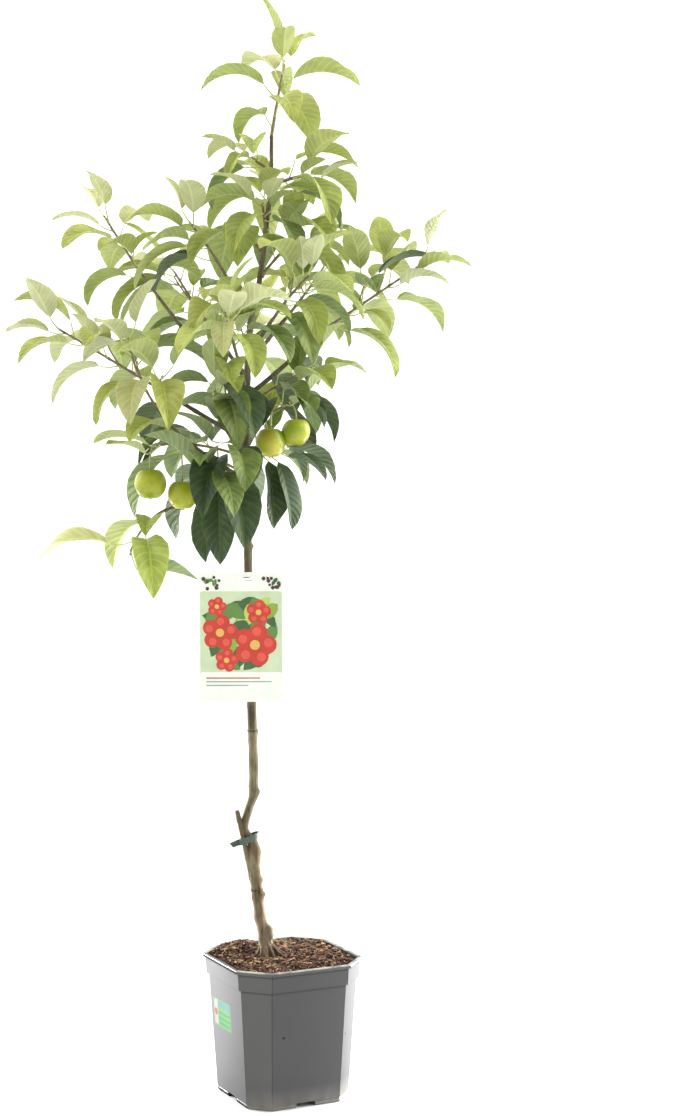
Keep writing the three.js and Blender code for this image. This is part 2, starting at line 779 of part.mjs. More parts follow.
function labelSolid() {
  const { width, height, thick, corner, slot } = LABEL;
  const card = new THREE.Shape();
  const [w, h, r] = [width / 2, height / 2, corner];
  card.absarc(w - r, h - r, r, 0, Math.PI / 2);
  card.absarc(-w + r, h - r, r, Math.PI / 2, Math.PI);
  card.absarc(-w + r, -h + r, r, Math.PI, 1.5 * Math.PI);
  card.absarc(w - r, -h + r, r, 1.5 * Math.PI, 2 * Math.PI);
  const hole = new THREE.Path();
  const [x0, x1] = [slot.x - slot.width / 2, slot.x + slot.width / 2];
  const [z0, z1] = [h - slot.down - slot.height / 2, h - slot.down + slot.height / 2];
  hole.moveTo(x0, z0).lineTo(x1, z0).lineTo(x1, z1).lineTo(x0, z1).closePath();
  card.holes.push(hole);
  const options = { depth: thick, bevelEnabled: false, curveSegments: 3 };
  const geometry = new THREE.ExtrudeGeometry(card, options);
  geometry.rotateX(Math.PI / 2);
  geometry.translate(LABEL.centre[0], LABEL.centre[1] + thick, LABEL.centre[2]);
  return solidOf(geometry);
}

function strapSolid() {
  const z = LABEL.centre[2] + LABEL.height / 2 - LABEL.slot.down;
  const { point } = trunkAt(z);
  const circles = [
    [point.x, point.y, STRAP.trunk],
    [LABEL.centre[0] + LABEL.slot.x, LABEL.centre[1], STRAP.front],
  ];
  return bandSolid(circles, z, STRAP.height, STRAP.thick);
}

// ---------------------------------------------------------------- the tree

const tree = new THREE.Group();

function place(parent, name, solid, color, roughness) {
  const made = solid.getMesh();
  const geometry = new THREE.BufferGeometry();
  geometry.setAttribute("position", new THREE.BufferAttribute(made.vertProperties, 3));
  geometry.setIndex(new THREE.BufferAttribute(made.triVerts, 1));
  geometry.computeVertexNormals();
  const material = new THREE.MeshStandardMaterial({ color, roughness, metalness: 0 });
  const mesh = new THREE.Mesh(geometry, material);
  mesh.name = name;
  parent.add(mesh);
}

const container = new THREE.Group();
container.rotation.z = radians(POT.turn);
tree.add(container);
place(container, "pot", potSolid(), 0x6c6c6a, 0.55);
place(container, "soil", soilSolid(), 0x5a3d2e, 0.95);

const trunkSpace = trunkSolid(GAP);
place(tree, "trunk", trunkSolid(0), 0x7d7260, 0.8);
place(tree, "rootstock_stub", stubSolid().subtract(trunkSpace), 0x7a6a52, 0.85);
place(tree, "stem_tie", tieSolid(), 0x4f7a66, 0.6);
place(tree, "hanging_card", labelSolid(), 0xf2f0ea, 0.4);
place(tree, "card_strap", strapSolid(), 0xe8e8e4, 0.5);

const crown = growCrown();

for (const [name, { path, foot, tip }] of Object.entries(crown.boughs)) {
  const solid = limbSolid(path, taper(foot, tip, path.length - 1), BOUGH_SIDES);
  place(tree, name, solid.subtract(trunkSpace), 0x6f5f48, 0.8);
}

for (const [name, mass] of Object.entries(crown.masses)) {
  const stem = limbSolid(mass.stem, taper(TWIG.foot, TWIG.tip, LIMB_STEPS), TWIG.sides);
  const spurs = mass.twigs.map((twig) => limbSolid(twig, taper(TWIG.tip, PETIOLE.foot, 2), 3));
  const leaves = mass.foliage.map(leafSolid);
  const fruit = mass.fruit.flatMap(appleSolids);
  const solid = join([stem, ...spurs, ...leaves, ...fruit]).subtract(trunkSpace);
  place(tree, name, solid, 0x7f9a3c, 0.6);
}

export default tree;
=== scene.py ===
"""Looks of a dwarf apple tree in a square nursery pot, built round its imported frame. Lengths in metres
where Blender holds them; the growth rule works in millimetres, as the frame's source does."""

from math import asin, atan, atan2, copysign, cos, degrees, exp, hypot, pi, radians, sin, sqrt, tanh

import bmesh
import bpy
import numpy as np
from bpy.props import FloatProperty, FloatVectorProperty, IntProperty, PointerProperty
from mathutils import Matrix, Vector, noise


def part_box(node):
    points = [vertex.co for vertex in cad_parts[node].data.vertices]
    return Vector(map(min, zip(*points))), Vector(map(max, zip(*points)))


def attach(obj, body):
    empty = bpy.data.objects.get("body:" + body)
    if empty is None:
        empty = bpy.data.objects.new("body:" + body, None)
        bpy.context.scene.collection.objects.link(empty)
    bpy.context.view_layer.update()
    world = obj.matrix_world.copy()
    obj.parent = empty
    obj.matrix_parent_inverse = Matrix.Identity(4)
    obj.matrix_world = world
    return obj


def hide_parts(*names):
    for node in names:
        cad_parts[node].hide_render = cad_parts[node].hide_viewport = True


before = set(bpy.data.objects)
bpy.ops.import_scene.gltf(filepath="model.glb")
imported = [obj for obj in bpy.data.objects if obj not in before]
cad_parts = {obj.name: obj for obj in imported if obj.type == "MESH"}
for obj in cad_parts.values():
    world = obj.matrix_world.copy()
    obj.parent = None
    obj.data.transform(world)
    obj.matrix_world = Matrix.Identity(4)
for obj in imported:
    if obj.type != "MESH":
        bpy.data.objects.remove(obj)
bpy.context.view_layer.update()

bl_info = {
    "name": "Dwarf apple tree in a pot",
    "version": (1, 0, 0),
    "blender": (4, 5, 0),
    "location": "3D View > Sidebar > Apple tree",
    "description": "Builds the bark, twigs, leaves, fruit, pot and stage of a young potted apple tree",
    "category": "Add Mesh",
}

MM = 0.001
edit = bpy.ops.mesh

# ---- sizes shared with the frame

GAP = 0.3
POT = {
    "turn": 24.6,
    "wall": 2,
    "floor": 9,
    "rows": [
        (0, 149.5, 35), (1.5, 151.4, 35.6), (4.4, 152.2, 36.2), (5.0, 151.2, 36.2), (9, 154, 37.5),
        (164.6, 173.4, 44.5), (165, 180.6, 48), (187.4, 183.6, 49.4), (188.2, 188.6, 50.6),
        (191.6, 190, 51), (193, 189.4, 50.8),
    ],
    "foot": 4,  # the row at the foot of the wall, then those at the ledge, the band and the neck
    "notch": (28, 12, 6.5),
    "drain": (5, 38),
}
SOIL_TOP = 190.5
TRUNK = [
    (184, -17, 2, 8.6), (236, -28.6, 7, 8.2), (304, -38, 13, 7.5), (349, -42, 16, 7.2),
    (366, -52.5, 16, 6.0), (392, -46.5, 16.5, 5.8), (415, -39.8, 17, 6.2), (544, -42, 17, 5.9),
    (919, -48.8, 14, 4.9), (1066, -41.7, 11, 4.1), (1123, -29.5, 10, 3.6), (1247, -14.6, 8, 2.9),
    (1314, -13.1, 7, 2.4),
]
TRUNK_STEP = 40
FLARE = {"height": 32, "spread": 1.0, "lobes": 3, "lobe": 0.24, "turn": 40}
# Knots: height, side in degrees, how far it stands out, how tall it is
KNOTS = [
    (224, -12, 6.5, 8), (243, 185, 2, 6), (274, 0, 2.4, 6), (296, 5, 1.8, 6), (337, -8, 3.6, 9),
    (415, 0, 2.4, 7), (499, 10, 1, 6), (758, 0, 1.4, 6),
]
STUB = {"foot": (-40, 14, 288), "head": (-62.4, 12, 392), "radius": (4.2, 3.3)}
LABEL = {"width": 115, "height": 178.4, "centre": (-56, 4, 633.3)}

# Boughs: height on the trunk, heading, rise at foot and tip, length, radius at foot and tip
BOUGHS = {
    "bough_left_long": (902, 192, 30, 31, 118, 3.4, 2.6),
    "bough_left_upper": (952, 163, 47, 52, 196, 3.3, 2.2),
    "bough_left_front": (850, 214, 22, 38, 122, 3.0, 2.3),
    "bough_left_low": (824, 196, 4, -20, 118, 2.8, 2.1),
    "bough_right_long": (962, 6, 38, 44, 134, 3.5, 2.7),
    "bough_upper_left": (1074, 200, 52, 58, 66, 2.6, 2.1),
    "bough_front": (966, 262, 34, 30, 92, 3.2, 2.5),
    "bough_front_right": (1016, 308, 44, 40, 78, 2.9, 2.3),
    "bough_back": (930, 88, 36, 34, 110, 3.3, 2.5),
    "bough_back_left": (989, 132, 40, 44, 96, 3.0, 2.3),
    "bough_back_right": (1004, 48, 42, 40, 104, 3.0, 2.3),
}
# Masses: where the stem starts, its heading, rise at foot and tip, length, leaves, side spurs, leaf
# length, lift of the older leaves
MASSES = {
    "leaves_top": ("trunk_tip", 25, 80, 78, 100, 9, 0, 94, 4),
    "leaves_top_left": (1266, 190, 40, 30, 34, 4, 0, 84, -5),
    "leaves_top_right": (1247, 350, 25, 10, 46, 6, 0, 92, 8),
    "leaves_top_front": (1184, 265, 45, 30, 55, 6, 0, 90, 0),
    "leaves_top_back": (1209, 85, 45, 30, 60, 6, 0, 90, 5),
    "leaves_spur_left": (1160, 184, 40, 20, 56, 6, 0, 92, -10),
    "leaves_spur_right": (1124, 20, 50, 45, 74, 8, 0, 94, 0),
    "leaves_upper_left": ("bough_upper_left", 200, 58, 50, 80, 9, 0, 92, 5),
    "leaves_left_upper": ("bough_left_upper", 163, 52, 58, 132, 9, 0, 90, 10),
    "leaves_left_long": ("bough_left_long", 192, 31, 30, 176, 13, 1, 96, 5),
    "leaves_left_low": ("bough_left_low", 205, -26, -70, 74, 4, 0, 112, 10),
    "leaves_low_left": (846, 230, 20, -10, 84, 9, 0, 104, -50),
    "leaves_low_right": (880, 318, 24, 4, 58, 7, 0, 90, -50),
    "leaves_low_centre": (884, 248, 30, 5, 58, 8, 0, 106, -50),
    "leaves_fruit_left": (878, 208, 22, -5, 132, 9, 1, 96, -25),
    "leaves_low_front": (920, 322, 26, 22, 82, 9, 1, 96, -50),
    "leaves_left_front": ("bough_left_front", 214, 38, 76, 148, 12, 2, 98, -15),
    "leaves_mid_left": (932, 238, 34, 16, 82, 9, 1, 100, -45),
    "leaves_mid_right": (950, 358, 34, 26, 104, 9, 1, 96, -30),
    "leaves_low_back": (876, 75, 25, 5, 80, 9, 1, 98, -45),
    "leaves_low_back_left": (854, 140, 30, 5, 82, 8, 1, 98, -45),
    "leaves_right_long": ("bough_right_long", 2, 34, 34, 164, 14, 2, 98, 6),
    "leaves_front": ("bough_front", 262, 30, 20, 110, 12, 1, 96, -5),
    "leaves_front_right": ("bough_front_right", 308, 40, 30, 92, 11, 1, 96, -5),
    "leaves_back": ("bough_back", 88, 34, 40, 130, 13, 1, 96, -5),
    "leaves_back_left": ("bough_back_left", 132, 44, 48, 120, 12, 1, 96, -5),
    "leaves_back_right": ("bough_back_right", 48, 40, 46, 110, 12, 1, 96, -5),
}
# Fruit: how far along the stem it hangs, heading, reach out, drop, radius
FRUIT = {
    "leaves_low_front": ((0.9, 217, 24, 50, 20.5), (0.9, 326, 18, 36, 19)),
    "leaves_fruit_left": ((1, 200, 14, 52, 21), (0.8, 300, 12, 68, 20)),
}
APPLE_TALL = 1.06
APPLE_SQUAT = 0.96  # how much flatter the lathed form is

# How a leaf grows. Angles in degrees, lengths as shares of the leaf's own.
LEAF = {
    "turn": 144, "turn_spread": 20, "open": 58, "open_spread": 12, "close": 22, "petiole": 0.24,
    "petiole_spread": 0.08, "petiole_up": 0.3, "size_spread": 0.28, "young": 0.3, "follow": 0.5,
    "rise": -6, "rise_young": 46, "rise_spread": 24, "steepest": 84, "arch": 92, "arch_young": 50,
    "arch_spread": 24, "hang": 88, "curl_spread": 24, "roll_spread": 30, "half": 0.26,
    "half_spread": 0.04, "fold": 20, "fold_spread": 18, "fold_young": 4,
}
SEED = 61
STATIONS = 6
TRIES = (0, 25, -25, 50, -50, 75, -75)
CLEAR = {"limb": 5, "stem": 4, "own": 5, "other": 10, "fruit": 3, "reach": 0.62}
FIRST = {"trunk": 0.45, "bough": 0.12}
CROWD = 1.25
SPUR = {
    "leaves": 3, "from": 0.15, "span": 0.5, "length": 34, "spread": 14, "up": 0.25, "turn": 137,
    "stand": (0.7, 0.3),  # where its first leaf stands, and the stretch that the others share
    "age": (0.35, 0.65),  # the same for the leaves' ages
}
TWIG = {"foot": 2, "tip": 1.3}
LIMB_STEPS = 8
LABEL_GUARD = 10
OPEN_SIDE = {"half": 0.55, "from": 1, "to": 5}  # the open space in front of a fruit, in its radii
# Where a wing is tested against its neighbours: station and share of its width
PROBES = ((1, 0.9), (2, 0.5), (2, 0.95), (3, 0.5), (3, 0.95), (4, 0.5), (4, 0.95), (5, 0.9))
# A blade's outline: how far its widest place lies toward the foot, how full it is, how it narrows
OUTLINE = {"low": 0.86, "full": 0.82, "narrow": 0.12}
DICE = {"times": 48271, "modulus": 2147483647, "seed_times": 7919, "seed_plus": 104729, "thrown_away": 6}
STEEP, UPRIGHT = 0.96, 0.999  # upward shares of a direction past which another way is taken as level
LIMB_END = 0.9999  # the share of a limb that counts as its end

# ---- growth rule, in millimetres

UP = np.array((0.0, 0.0, 1.0))


def unit(v):
    return v / sqrt(float(v @ v))


def heading(azimuth, rise):
    a, r = radians(azimuth), radians(rise)
    return np.array((cos(a) * cos(r), sin(a) * cos(r), sin(r)))


def dice(seed):
    """Numbers from 0 to 1, the same every time for one seed."""
    modulus = DICE["modulus"]
    state = [(seed * DICE["seed_times"] + DICE["seed_plus"]) % modulus]

    def roll():
        state[0] = state[0] * DICE["times"] % modulus
        return state[0] / modulus

    for _ in range(DICE["thrown_away"]):
        roll()
    return roll


def along(path, s):
    """The point and direction at a share of a path's length."""
    last = len(path) - 1
    k = s * last
    i = min(int(k), last - 1)
    return path[i] + (path[i + 1] - path[i]) * (k - i), unit(path[i + 1] - path[i])


def across(direction):
    """Two directions at right angles to one and to each other, the first level."""
    pole = UP if abs(direction[2]) < STEEP else np.array((1.0, 0.0, 0.0))
    level = unit(np.cross(pole, direction))
    return level, np.cross(direction, level)


def cubic(a, slope_a, b, slope_b, t):
    """From one value to another with a slope given at both, at a share of the way."""
    t2, t3 = t * t, t * t * t
    foot = (2 * t3 - 3 * t2 + 1) * a + (t3 - 2 * t2 + t) * slope_a
    return foot + (-2 * t3 + 3 * t2) * b + (t3 - t2) * slope_b


def trunk_at(z):
    """The trunk's centre and radius at a height, on a smooth line through its bends."""
    last = len(TRUNK) - 1
    i = 0
    while i < last - 1 and z > TRUNK[i + 1][0]:
        i += 1
    before, low, high = TRUNK[max(i - 1, 0)], TRUNK[i], TRUNK[i + 1]
    after = TRUNK[min(i + 2, last)]
    span = high[0] - low[0]
    t = (z - low[0]) / span

    def blend(j):
        rising = (high[j] - before[j]) / (high[0] - before[0]) * span
        leaving = (after[j] - low[j]) / (after[0] - low[0]) * span
        return cubic(low[j], rising, high[j], leaving, t)

    return np.array((blend(1), blend(2), float(z))), blend(3)


def trunk_near(z):
    """The trunk's centre and radius, with a height past either end taken as the end's."""
    return trunk_at(min(max(float(z), TRUNK[0][0]), TRUNK[-1][0]))


def limb_path(start, azimuth, rise_foot, rise_tip, length):
    path = [start]
    for i in range(LIMB_STEPS):
        rise = rise_foot + (rise_tip - rise_foot) * (i + 0.5) / LIMB_STEPS
        path.append(path[-1] + heading(azimuth, rise) * (length / LIMB_STEPS))
    return path


def outline(t):
    """Half width of a blade at share t of its length, about 1 at the widest."""
    if t <= 0 or t >= 1:
        return 0.0
    full = sin(pi * t ** OUTLINE["low"]) ** OUTLINE["full"]
    return full * (1 - OUTLINE["narrow"] * t)


def blade_frames(leaf, steps):
    """Centre line of a blade, with the directions of its left wing and of its upper face."""
    frames = []
    point = leaf["base"]

    def bearing(t):
        return heading(leaf["head"] + leaf["curl"] * t, leaf["rise"] - leaf["arch"] * t)

    c, s = cos(radians(leaf["roll"])), sin(radians(leaf["roll"]))
    for i in range(steps + 1):
        forward = bearing(i / steps)
        if abs(forward[2]) < UPRIGHT:
            side = unit(np.cross(forward, UP))
        else:
            head = radians(leaf["head"])
            side = np.array((sin(head), -cos(head), 0.0))
        normal = np.cross(side, forward)
        frames.append((point, side * c + normal * s, normal * c - side * s))
        point = point + bearing((i + 0.5) / steps) * (leaf["length"] / steps)
    return frames


def wing_point(leaf, station, side, share):
    """A point on one wing of a blade, at a share of its width."""
    point, out, normal = leaf["frames"][station]
    width = leaf["half"] * outline(station / STATIONS) * share
    fold = radians(leaf["fold"])
    return point + out * (side * width * cos(fold)) + normal * (width * sin(fold))


def make_leaf(mass, stem_point, direction, azimuth, age, roll):
    """One leaf with its stalk: where it stands, how it hangs, and the points by which it is tested."""
    level, leaning = across(direction)
    a = radians(azimuth)
    radial = level * cos(a) + leaning * sin(a)
    young = age * age
    spread = radians(LEAF["open"] + LEAF["open_spread"] * (roll() - 0.5) - LEAF["close"] * young)
    out = unit(direction * cos(spread) + radial * sin(spread))
    petiole = (LEAF["petiole"] + LEAF["petiole_spread"] * roll()) * mass["leaf"]
    bent = unit(out + UP * LEAF["petiole_up"])
    middle = stem_point + out * (petiole / 2)
    base = middle + bent * (petiole / 2)
    size = mass["leaf"] * (1 - LEAF["size_spread"] / 2 + LEAF["size_spread"] * roll())
    length = size * (1 - LEAF["young"] * young * age)
    rise = degrees(asin(bent[2])) * LEAF["follow"] + mass["lift"] * (1 - age)
    rise += LEAF["rise_young"] * young + LEAF["rise"] + LEAF["rise_spread"] * (roll() - 0.5)
    rise = min(LEAF["steepest"], rise)
    arch = LEAF["arch"] - LEAF["arch_young"] * young + LEAF["arch_spread"] * (roll() - 0.5)
    leaf = {
        "base": base,
        "petiole": (stem_point, middle, base),
        "head": degrees(atan2(bent[1], bent[0])),
        "rise": rise,
        "arch": min(arch, rise + LEAF["hang"]),
        "curl": LEAF["curl_spread"] * (roll() - 0.5),
        "roll": LEAF["roll_spread"] * (roll() - 0.5),
        "length": length,
        "half": length * (LEAF["half"] + LEAF["half_spread"] * roll()),
        "fold": LEAF["fold"] + LEAF["fold_spread"] * roll() - LEAF["fold_young"] * age,
        "age": age,
    }
    leaf["frames"] = blade_frames(leaf, STATIONS)
    probes = [f[0] for f in leaf["frames"]] + [middle, (middle + base) / 2]
    for station, share in PROBES:
        probes += [wing_point(leaf, station, side, share) for side in (1, -1)]
    leaf["probes"] = np.array(probes)
    return leaf


class Limbs:
    """Stretches of limbs that leaves keep clear of."""

    def __init__(self):
        self.a, self.b, self.radius = [], [], []

    def add(self, path, foot, tip):
        last = len(path) - 1
        for i in range(last):
            self.a.append(path[i])
            self.b.append(path[i + 1])
            self.radius.append(foot + (tip - foot) * i / last)
        return self

    def meets(self, probes, gap):
        a, ab = np.array(self.a), np.array(self.b) - np.array(self.a)
        away = probes[:, None, :] - a[None]
        t = np.clip((away * ab).sum(-1) / (ab * ab).sum(-1), 0, 1)
        gone = np.linalg.norm(away - t[..., None] * ab, axis=-1)
        return bool((gone < np.array(self.radius) + gap).any())


def wood(trunk, boughs):
    """The trunk and boughs as limbs."""
    limbs = Limbs().add(trunk, TRUNK[0][3], TRUNK[-1][3])
    for bough in boughs.values():
        limbs.add(bough["path"], bough["foot"], bough["tip"])
    return limbs


def all_fruit(masses):
    return [fruit for mass in masses.values() for fruit in mass["fruit"]]


def meets_leaf(leaf, other, gap):
    far = CLEAR["reach"] * (leaf["length"] + other["length"]) + gap
    if np.linalg.norm(leaf["probes"][3] - other["probes"][3]) > far:
        return False
    apart = leaf["probes"][:, None, :] - other["probes"][None]
    return bool(((apart * apart).sum(-1) < gap * gap).any())


def plan_shoots(mass, roll):
    """The shoots of one mass: its spurs, and where each leaf stands on them."""
    first = FIRST["bough"] if isinstance(mass["on"], str) else FIRST["trunk"]
    phase = 360 * roll()
    on_stem = mass["leaves"] - mass["spurs"] * SPUR["leaves"]
    twigs, places = [], []
    for i in range(on_stem):
        age = i / (on_stem - 1)
        s = first + (1 - first) * (1 - (1 - age) ** CROWD)
        places.append((mass["stem"], s, phase + LEAF["turn"] * i, age))
    for j in range(mass["spurs"]):
        s = first + (1 - first) * (SPUR["from"] + SPUR["span"] * (j + 0.5) / mass["spurs"])
        point, direction = along(mass["stem"], s)
        level, leaning = across(direction)
        azimuth = radians(phase + 180 * j + 2 * LEAF["turn_spread"] * (roll() - 0.5))
        out = unit(level * cos(azimuth) + leaning * abs(sin(azimuth)) + direction)
        half = (SPUR["length"] + SPUR["spread"] * roll()) / 2
        middle = point + out * half
        twig = [point, middle, middle + unit(out + UP * SPUR["up"]) * half]
        twigs.append(twig)
        for i in range(SPUR["leaves"]):
            share = i / (SPUR["leaves"] - 1)
            azimuth = 360 * roll() + SPUR["turn"] * i
            s, age = (start + span * share for start, span in (SPUR["stand"], SPUR["age"]))
            places.append((twig, s, azimuth, age))
    return twigs, places


def start_limbs():
    """The trunk's line, the boughs, and each mass with its stem and fruit."""
    heights = list(range(TRUNK[0][0], TRUNK[-1][0], TRUNK_STEP)) + [TRUNK[-1][0]]
    trunk = [trunk_at(z)[0] for z in heights]
    tips = {"trunk_tip": trunk}
    boughs = {}
    for name, (height, azimuth, rise_foot, rise_tip, length, foot, tip) in BOUGHS.items():
        path = limb_path(trunk_at(height)[0], azimuth, rise_foot, rise_tip, length)
        boughs[name] = {"path": path, "foot": foot, "tip": tip}
        tips[name] = path
    masses = {}
    for name, row in MASSES.items():
        on, azimuth, rise_foot, rise_tip, length, leaves, spurs, leaf, lift = row
        if isinstance(on, str):
            start = tips[on][-1] + unit(tips[on][-1] - tips[on][-2]) * (GAP + 0.1)
        else:
            start = trunk_at(on)[0]
        stem = limb_path(start, azimuth, rise_foot, rise_tip, length)
        mass = {"on": on, "leaves": leaves, "spurs": spurs, "leaf": leaf, "lift": lift}
        mass |= {"name": name, "stem": stem, "twigs": [], "foliage": [], "fruit": []}
        for s, side, reach, drop, radius in FRUIT.get(name, ()):
            point = along(stem, min(s, LIMB_END))[0]
            out = point + heading(side, 0) * reach
            centre = out - UP * drop
            mass["fruit"].append({"point": point, "out": out, "centre": centre, "radius": radius})
        masses[name] = mass
    return trunk, boughs, masses


def open_side(fruit):
    """Fruit hangs in the open: leaves keep off its front side."""
    return [fruit["centre"] - np.array((0, OPEN_SIDE[end] * fruit["radius"], 0)) for end in ("from", "to")]


def grow_crown():
    """Every mass in turn: its spurs, then each leaf at the first try that keeps clear."""
    trunk, boughs, masses = start_limbs()
    x, y, z = LABEL["centre"]
    top = z + LABEL["height"] / 2 - LABEL_GUARD
    guard = [np.array((x + side * LABEL["width"] / 2, y, top)) for side in (-1, 1)]
    apples = all_fruit(masses)
    grown = []
    for number, mass in enumerate(masses.values()):
        foreign = wood(trunk, boughs)
        foreign.add(guard, LABEL_GUARD, LABEL_GUARD)
        for fruit in apples:
            half = OPEN_SIDE["half"] * fruit["radius"]
            foreign.add(open_side(fruit), half, half)
        for other in masses.values():
            if other is not mass:
                for path in [other["stem"], *other["twigs"]]:
                    foreign.add(path, TWIG["foot"], TWIG["tip"])
        own = Limbs().add(mass["stem"], TWIG["foot"], TWIG["tip"])
        roll = dice(SEED + number)
        twigs, places = plan_shoots(mass, roll)
        blocked = [t for t in twigs if foreign.meets(np.array(t[1:]), CLEAR["limb"])]
        for twig in twigs:
            spur = Limbs().add(twig, TWIG["tip"], TWIG["tip"])
            if any(spur.meets(leaf["probes"], CLEAR["limb"]) for _, leaf in grown):
                blocked.append(twig)
        mass["twigs"] = [t for t in twigs if not any(t is b for b in blocked)]

        def fits(leaf):
            probes = leaf["probes"]
            if foreign.meets(probes, CLEAR["limb"]) or own.meets(probes[1:], CLEAR["stem"]):
                return False
            for fruit in apples:
                gone = np.linalg.norm(probes - fruit["centre"], axis=1)
                if (gone < fruit["radius"] + CLEAR["fruit"]).any():
                    return False
            return not any(
                meets_leaf(leaf, other, CLEAR["own"] if home is mass else CLEAR["other"])
                for home, other in grown
            )

        for path, s, azimuth, age in places:
            if any(path is b for b in blocked):
                continue
            point, direction = along(path, min(s, LIMB_END))
            for swing in TRIES:
                turned = azimuth + swing + LEAF["turn_spread"] * (roll() - 0.5)
                leaf = make_leaf(mass, point, direction, turned, age, roll)
                if fits(leaf):
                    leaf["stands_on"] = (path, s)
                    mass["foliage"].append(leaf)
                    grown.append((mass, leaf))
                    break
    return {"trunk": trunk, "boughs": boughs, "masses": masses}


_made = {}


def crown():
    """The grown crown, worked out once."""
    if not _made:
        _made.update(grow_crown())
    return _made


def fill_crown(share):
    """Smaller leaves by the same rule, in the room that the first ones leave, as a share of their number."""
    made = crown()
    masses = made["masses"]
    limbs = wood(made["trunk"], made["boughs"])
    apples = all_fruit(masses)
    grown = [leaf for mass in masses.values() for leaf in mass["foliage"]]
    small = []
    for number, mass in enumerate(masses.values()):
        roll = dice(SEED + FILL["seed"] + number)
        first = FIRST["bough"] if isinstance(mass["on"], str) else FIRST["trunk"]
        for _ in range(round(share * mass["leaves"])):
            size = FILL["small"] + (1 - FILL["small"]) * roll()
            s = first + (1 - first) * roll()
            age = FILL["age"] + (1 - FILL["age"]) * roll()
            point, direction = along(mass["stem"], min(s, LIMB_END))
            azimuth = 360 * roll()
            sized = mass | {"leaf": mass["leaf"] * size * FILL["largest"]}
            for turn in range(FILL["tries"]):
                leaf = make_leaf(sized, point, direction, azimuth + FILL["turn"] * turn, age, roll)
                probes = leaf["probes"]
                if limbs.meets(probes, FILL["limb"]):
                    continue
                gaps = (np.linalg.norm(probes - f["centre"], axis=1) - f["radius"] for f in apples)
                if any((gap < FILL["fruit"]).any() for gap in gaps):
                    continue
                if any(meets_leaf(leaf, other, FILL["leaf"]) for other in grown):
                    continue
                leaf["stands_on"] = (mass["stem"], s)
                small.append((mass, leaf))
                grown.append(leaf)
                break
    return small


# ---- making meshes


def circle(count):
    """Even angles round a circle."""
    return [2 * pi * k / count for k in range(count)]


def tube_faces(rows, sides):
    """Faces between rings of points, and one over each end."""
    faces = []
    for i in range(rows - 1):
        for k in range(sides):
            a, b = i * sides + k, i * sides + (k + 1) % sides
            faces.append((a, b, b + sides, a + sides))
    faces.append(tuple(range(sides - 1, -1, -1)))
    faces.append(tuple((rows - 1) * sides + k for k in range(sides)))
    return faces


class Shape:
    """Points and faces gathered for one piece, in millimetres."""

    def __init__(self):
        self.points, self.faces, self.slots, self.uvs = [], [], [], []

    def add(self, points, faces, slots=0, uvs=None):
        start = len(self.points)
        self.points.extend(points)
        self.faces.extend(tuple(start + i for i in face) for face in faces)
        self.slots.extend([slots] * len(faces) if isinstance(slots, int) else slots)
        self.uvs.extend(uvs if uvs is not None else [(0.0, 0.0)] * len(points))

    def tube(self, path, radii, sides, slot=0):
        """A round limb along a path, closed at both ends."""
        level, rings, last = None, [], len(path) - 1
        for i, point in enumerate(path):
            ahead = unit(path[min(i + 1, last)] - path[max(i - 1, 0)])
            if level is None:
                level = across(ahead)[0]
            level = unit(level - ahead * (level @ ahead))
            leaning = np.cross(ahead, level)
            for a in circle(sides):
                rings.append(point + (level * cos(a) + leaning * sin(a)) * radii[i])
        self.add(rings, tube_faces(last + 1, sides), slot)

    def build(self, name, materials, replaces=(), slot=None, smooth=True):
        """The piece itself, riding on the plant and standing for the nodes it replaces."""
        mesh = bpy.data.meshes.new(name)
        mesh.from_pydata([tuple(float(c) * MM for c in p) for p in self.points], [], self.faces)
        for material in materials:
            mesh.materials.append(material)
        mesh.polygons.foreach_set("material_index", self.slots)
        mesh.polygons.foreach_set("use_smooth", [smooth] * len(self.faces))
        layer = mesh.uv_layers.new(name="along")
        corners = np.empty(len(mesh.loops), dtype=np.int32)
        mesh.loops.foreach_get("vertex_index", corners)
        layer.uv.foreach_set("vector", np.array(self.uvs, dtype=np.float32)[corners].ravel())
        mesh.update()
        piece = bpy.data.objects.new(name, mesh)
        bpy.context.collection.objects.link(piece)
        return settle(piece, replaces, slot)


def settle(piece, replaces=(), slot=None):
    """Ties a piece to the plant and hides the nodes it stands for; its place in the list of materials is not
    used.
    """
    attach(piece, "root")
    if replaces:
        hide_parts(*replaces)
    return piece


def pick(*pieces):
    """Selects these pieces alone, with the first as the active one."""
    bpy.ops.object.select_all(action="DESELECT")
    for piece in pieces:
        piece.select_set(True)
    bpy.context.view_layer.objects.active = pieces[0]


def crease(angle):
    """Shades the selected piece smooth but for its edges sharper than an angle in degrees."""
    bpy.ops.object.shade_smooth_by_angle(angle=radians(angle))


def apply_place():
    bpy.ops.object.transform_apply(location=True, rotation=True, scale=True)


def smooth_path(points, step):
    """A finer path through the same points, in steps of about the length given."""
    line = [points[0]]
    for i in range(len(points) - 1):
        before, a = points[max(i - 1, 0)], points[i]
        b, after = points[i + 1], points[min(i + 2, len(points) - 1)]
        parts = max(1, round(float(np.linalg.norm(b - a)) / step))
        for k in range(1, parts + 1):
            line.append(cubic(a, (b - before) / 2, b, (after - a) / 2, k / parts))
    return line


BOW_SPOTS = (0, 0.2, 0.45, 0.72, 1)


def bow(path):
    """Points on a smooth bow through the first, middle and last of three points."""
    a, m, b = path
    control = 2 * m - (a + b) / 2
    return [(1 - t) ** 2 * a + 2 * t * (1 - t) * control + t * t * b for t in BOW_SPOTS]


def hump(x, at, wide):
    """One at a place, and nought well away from it on both sides."""
    return exp(-(((x - at) / wide) ** 2))


def ripple(x, y, z, seed=0.0):
    """Smooth unevenness between about -1 and 1, the same every time for one place."""
    return noise.noise(Vector((x + seed, y - seed, z + 2 * seed)))


# ---- materials


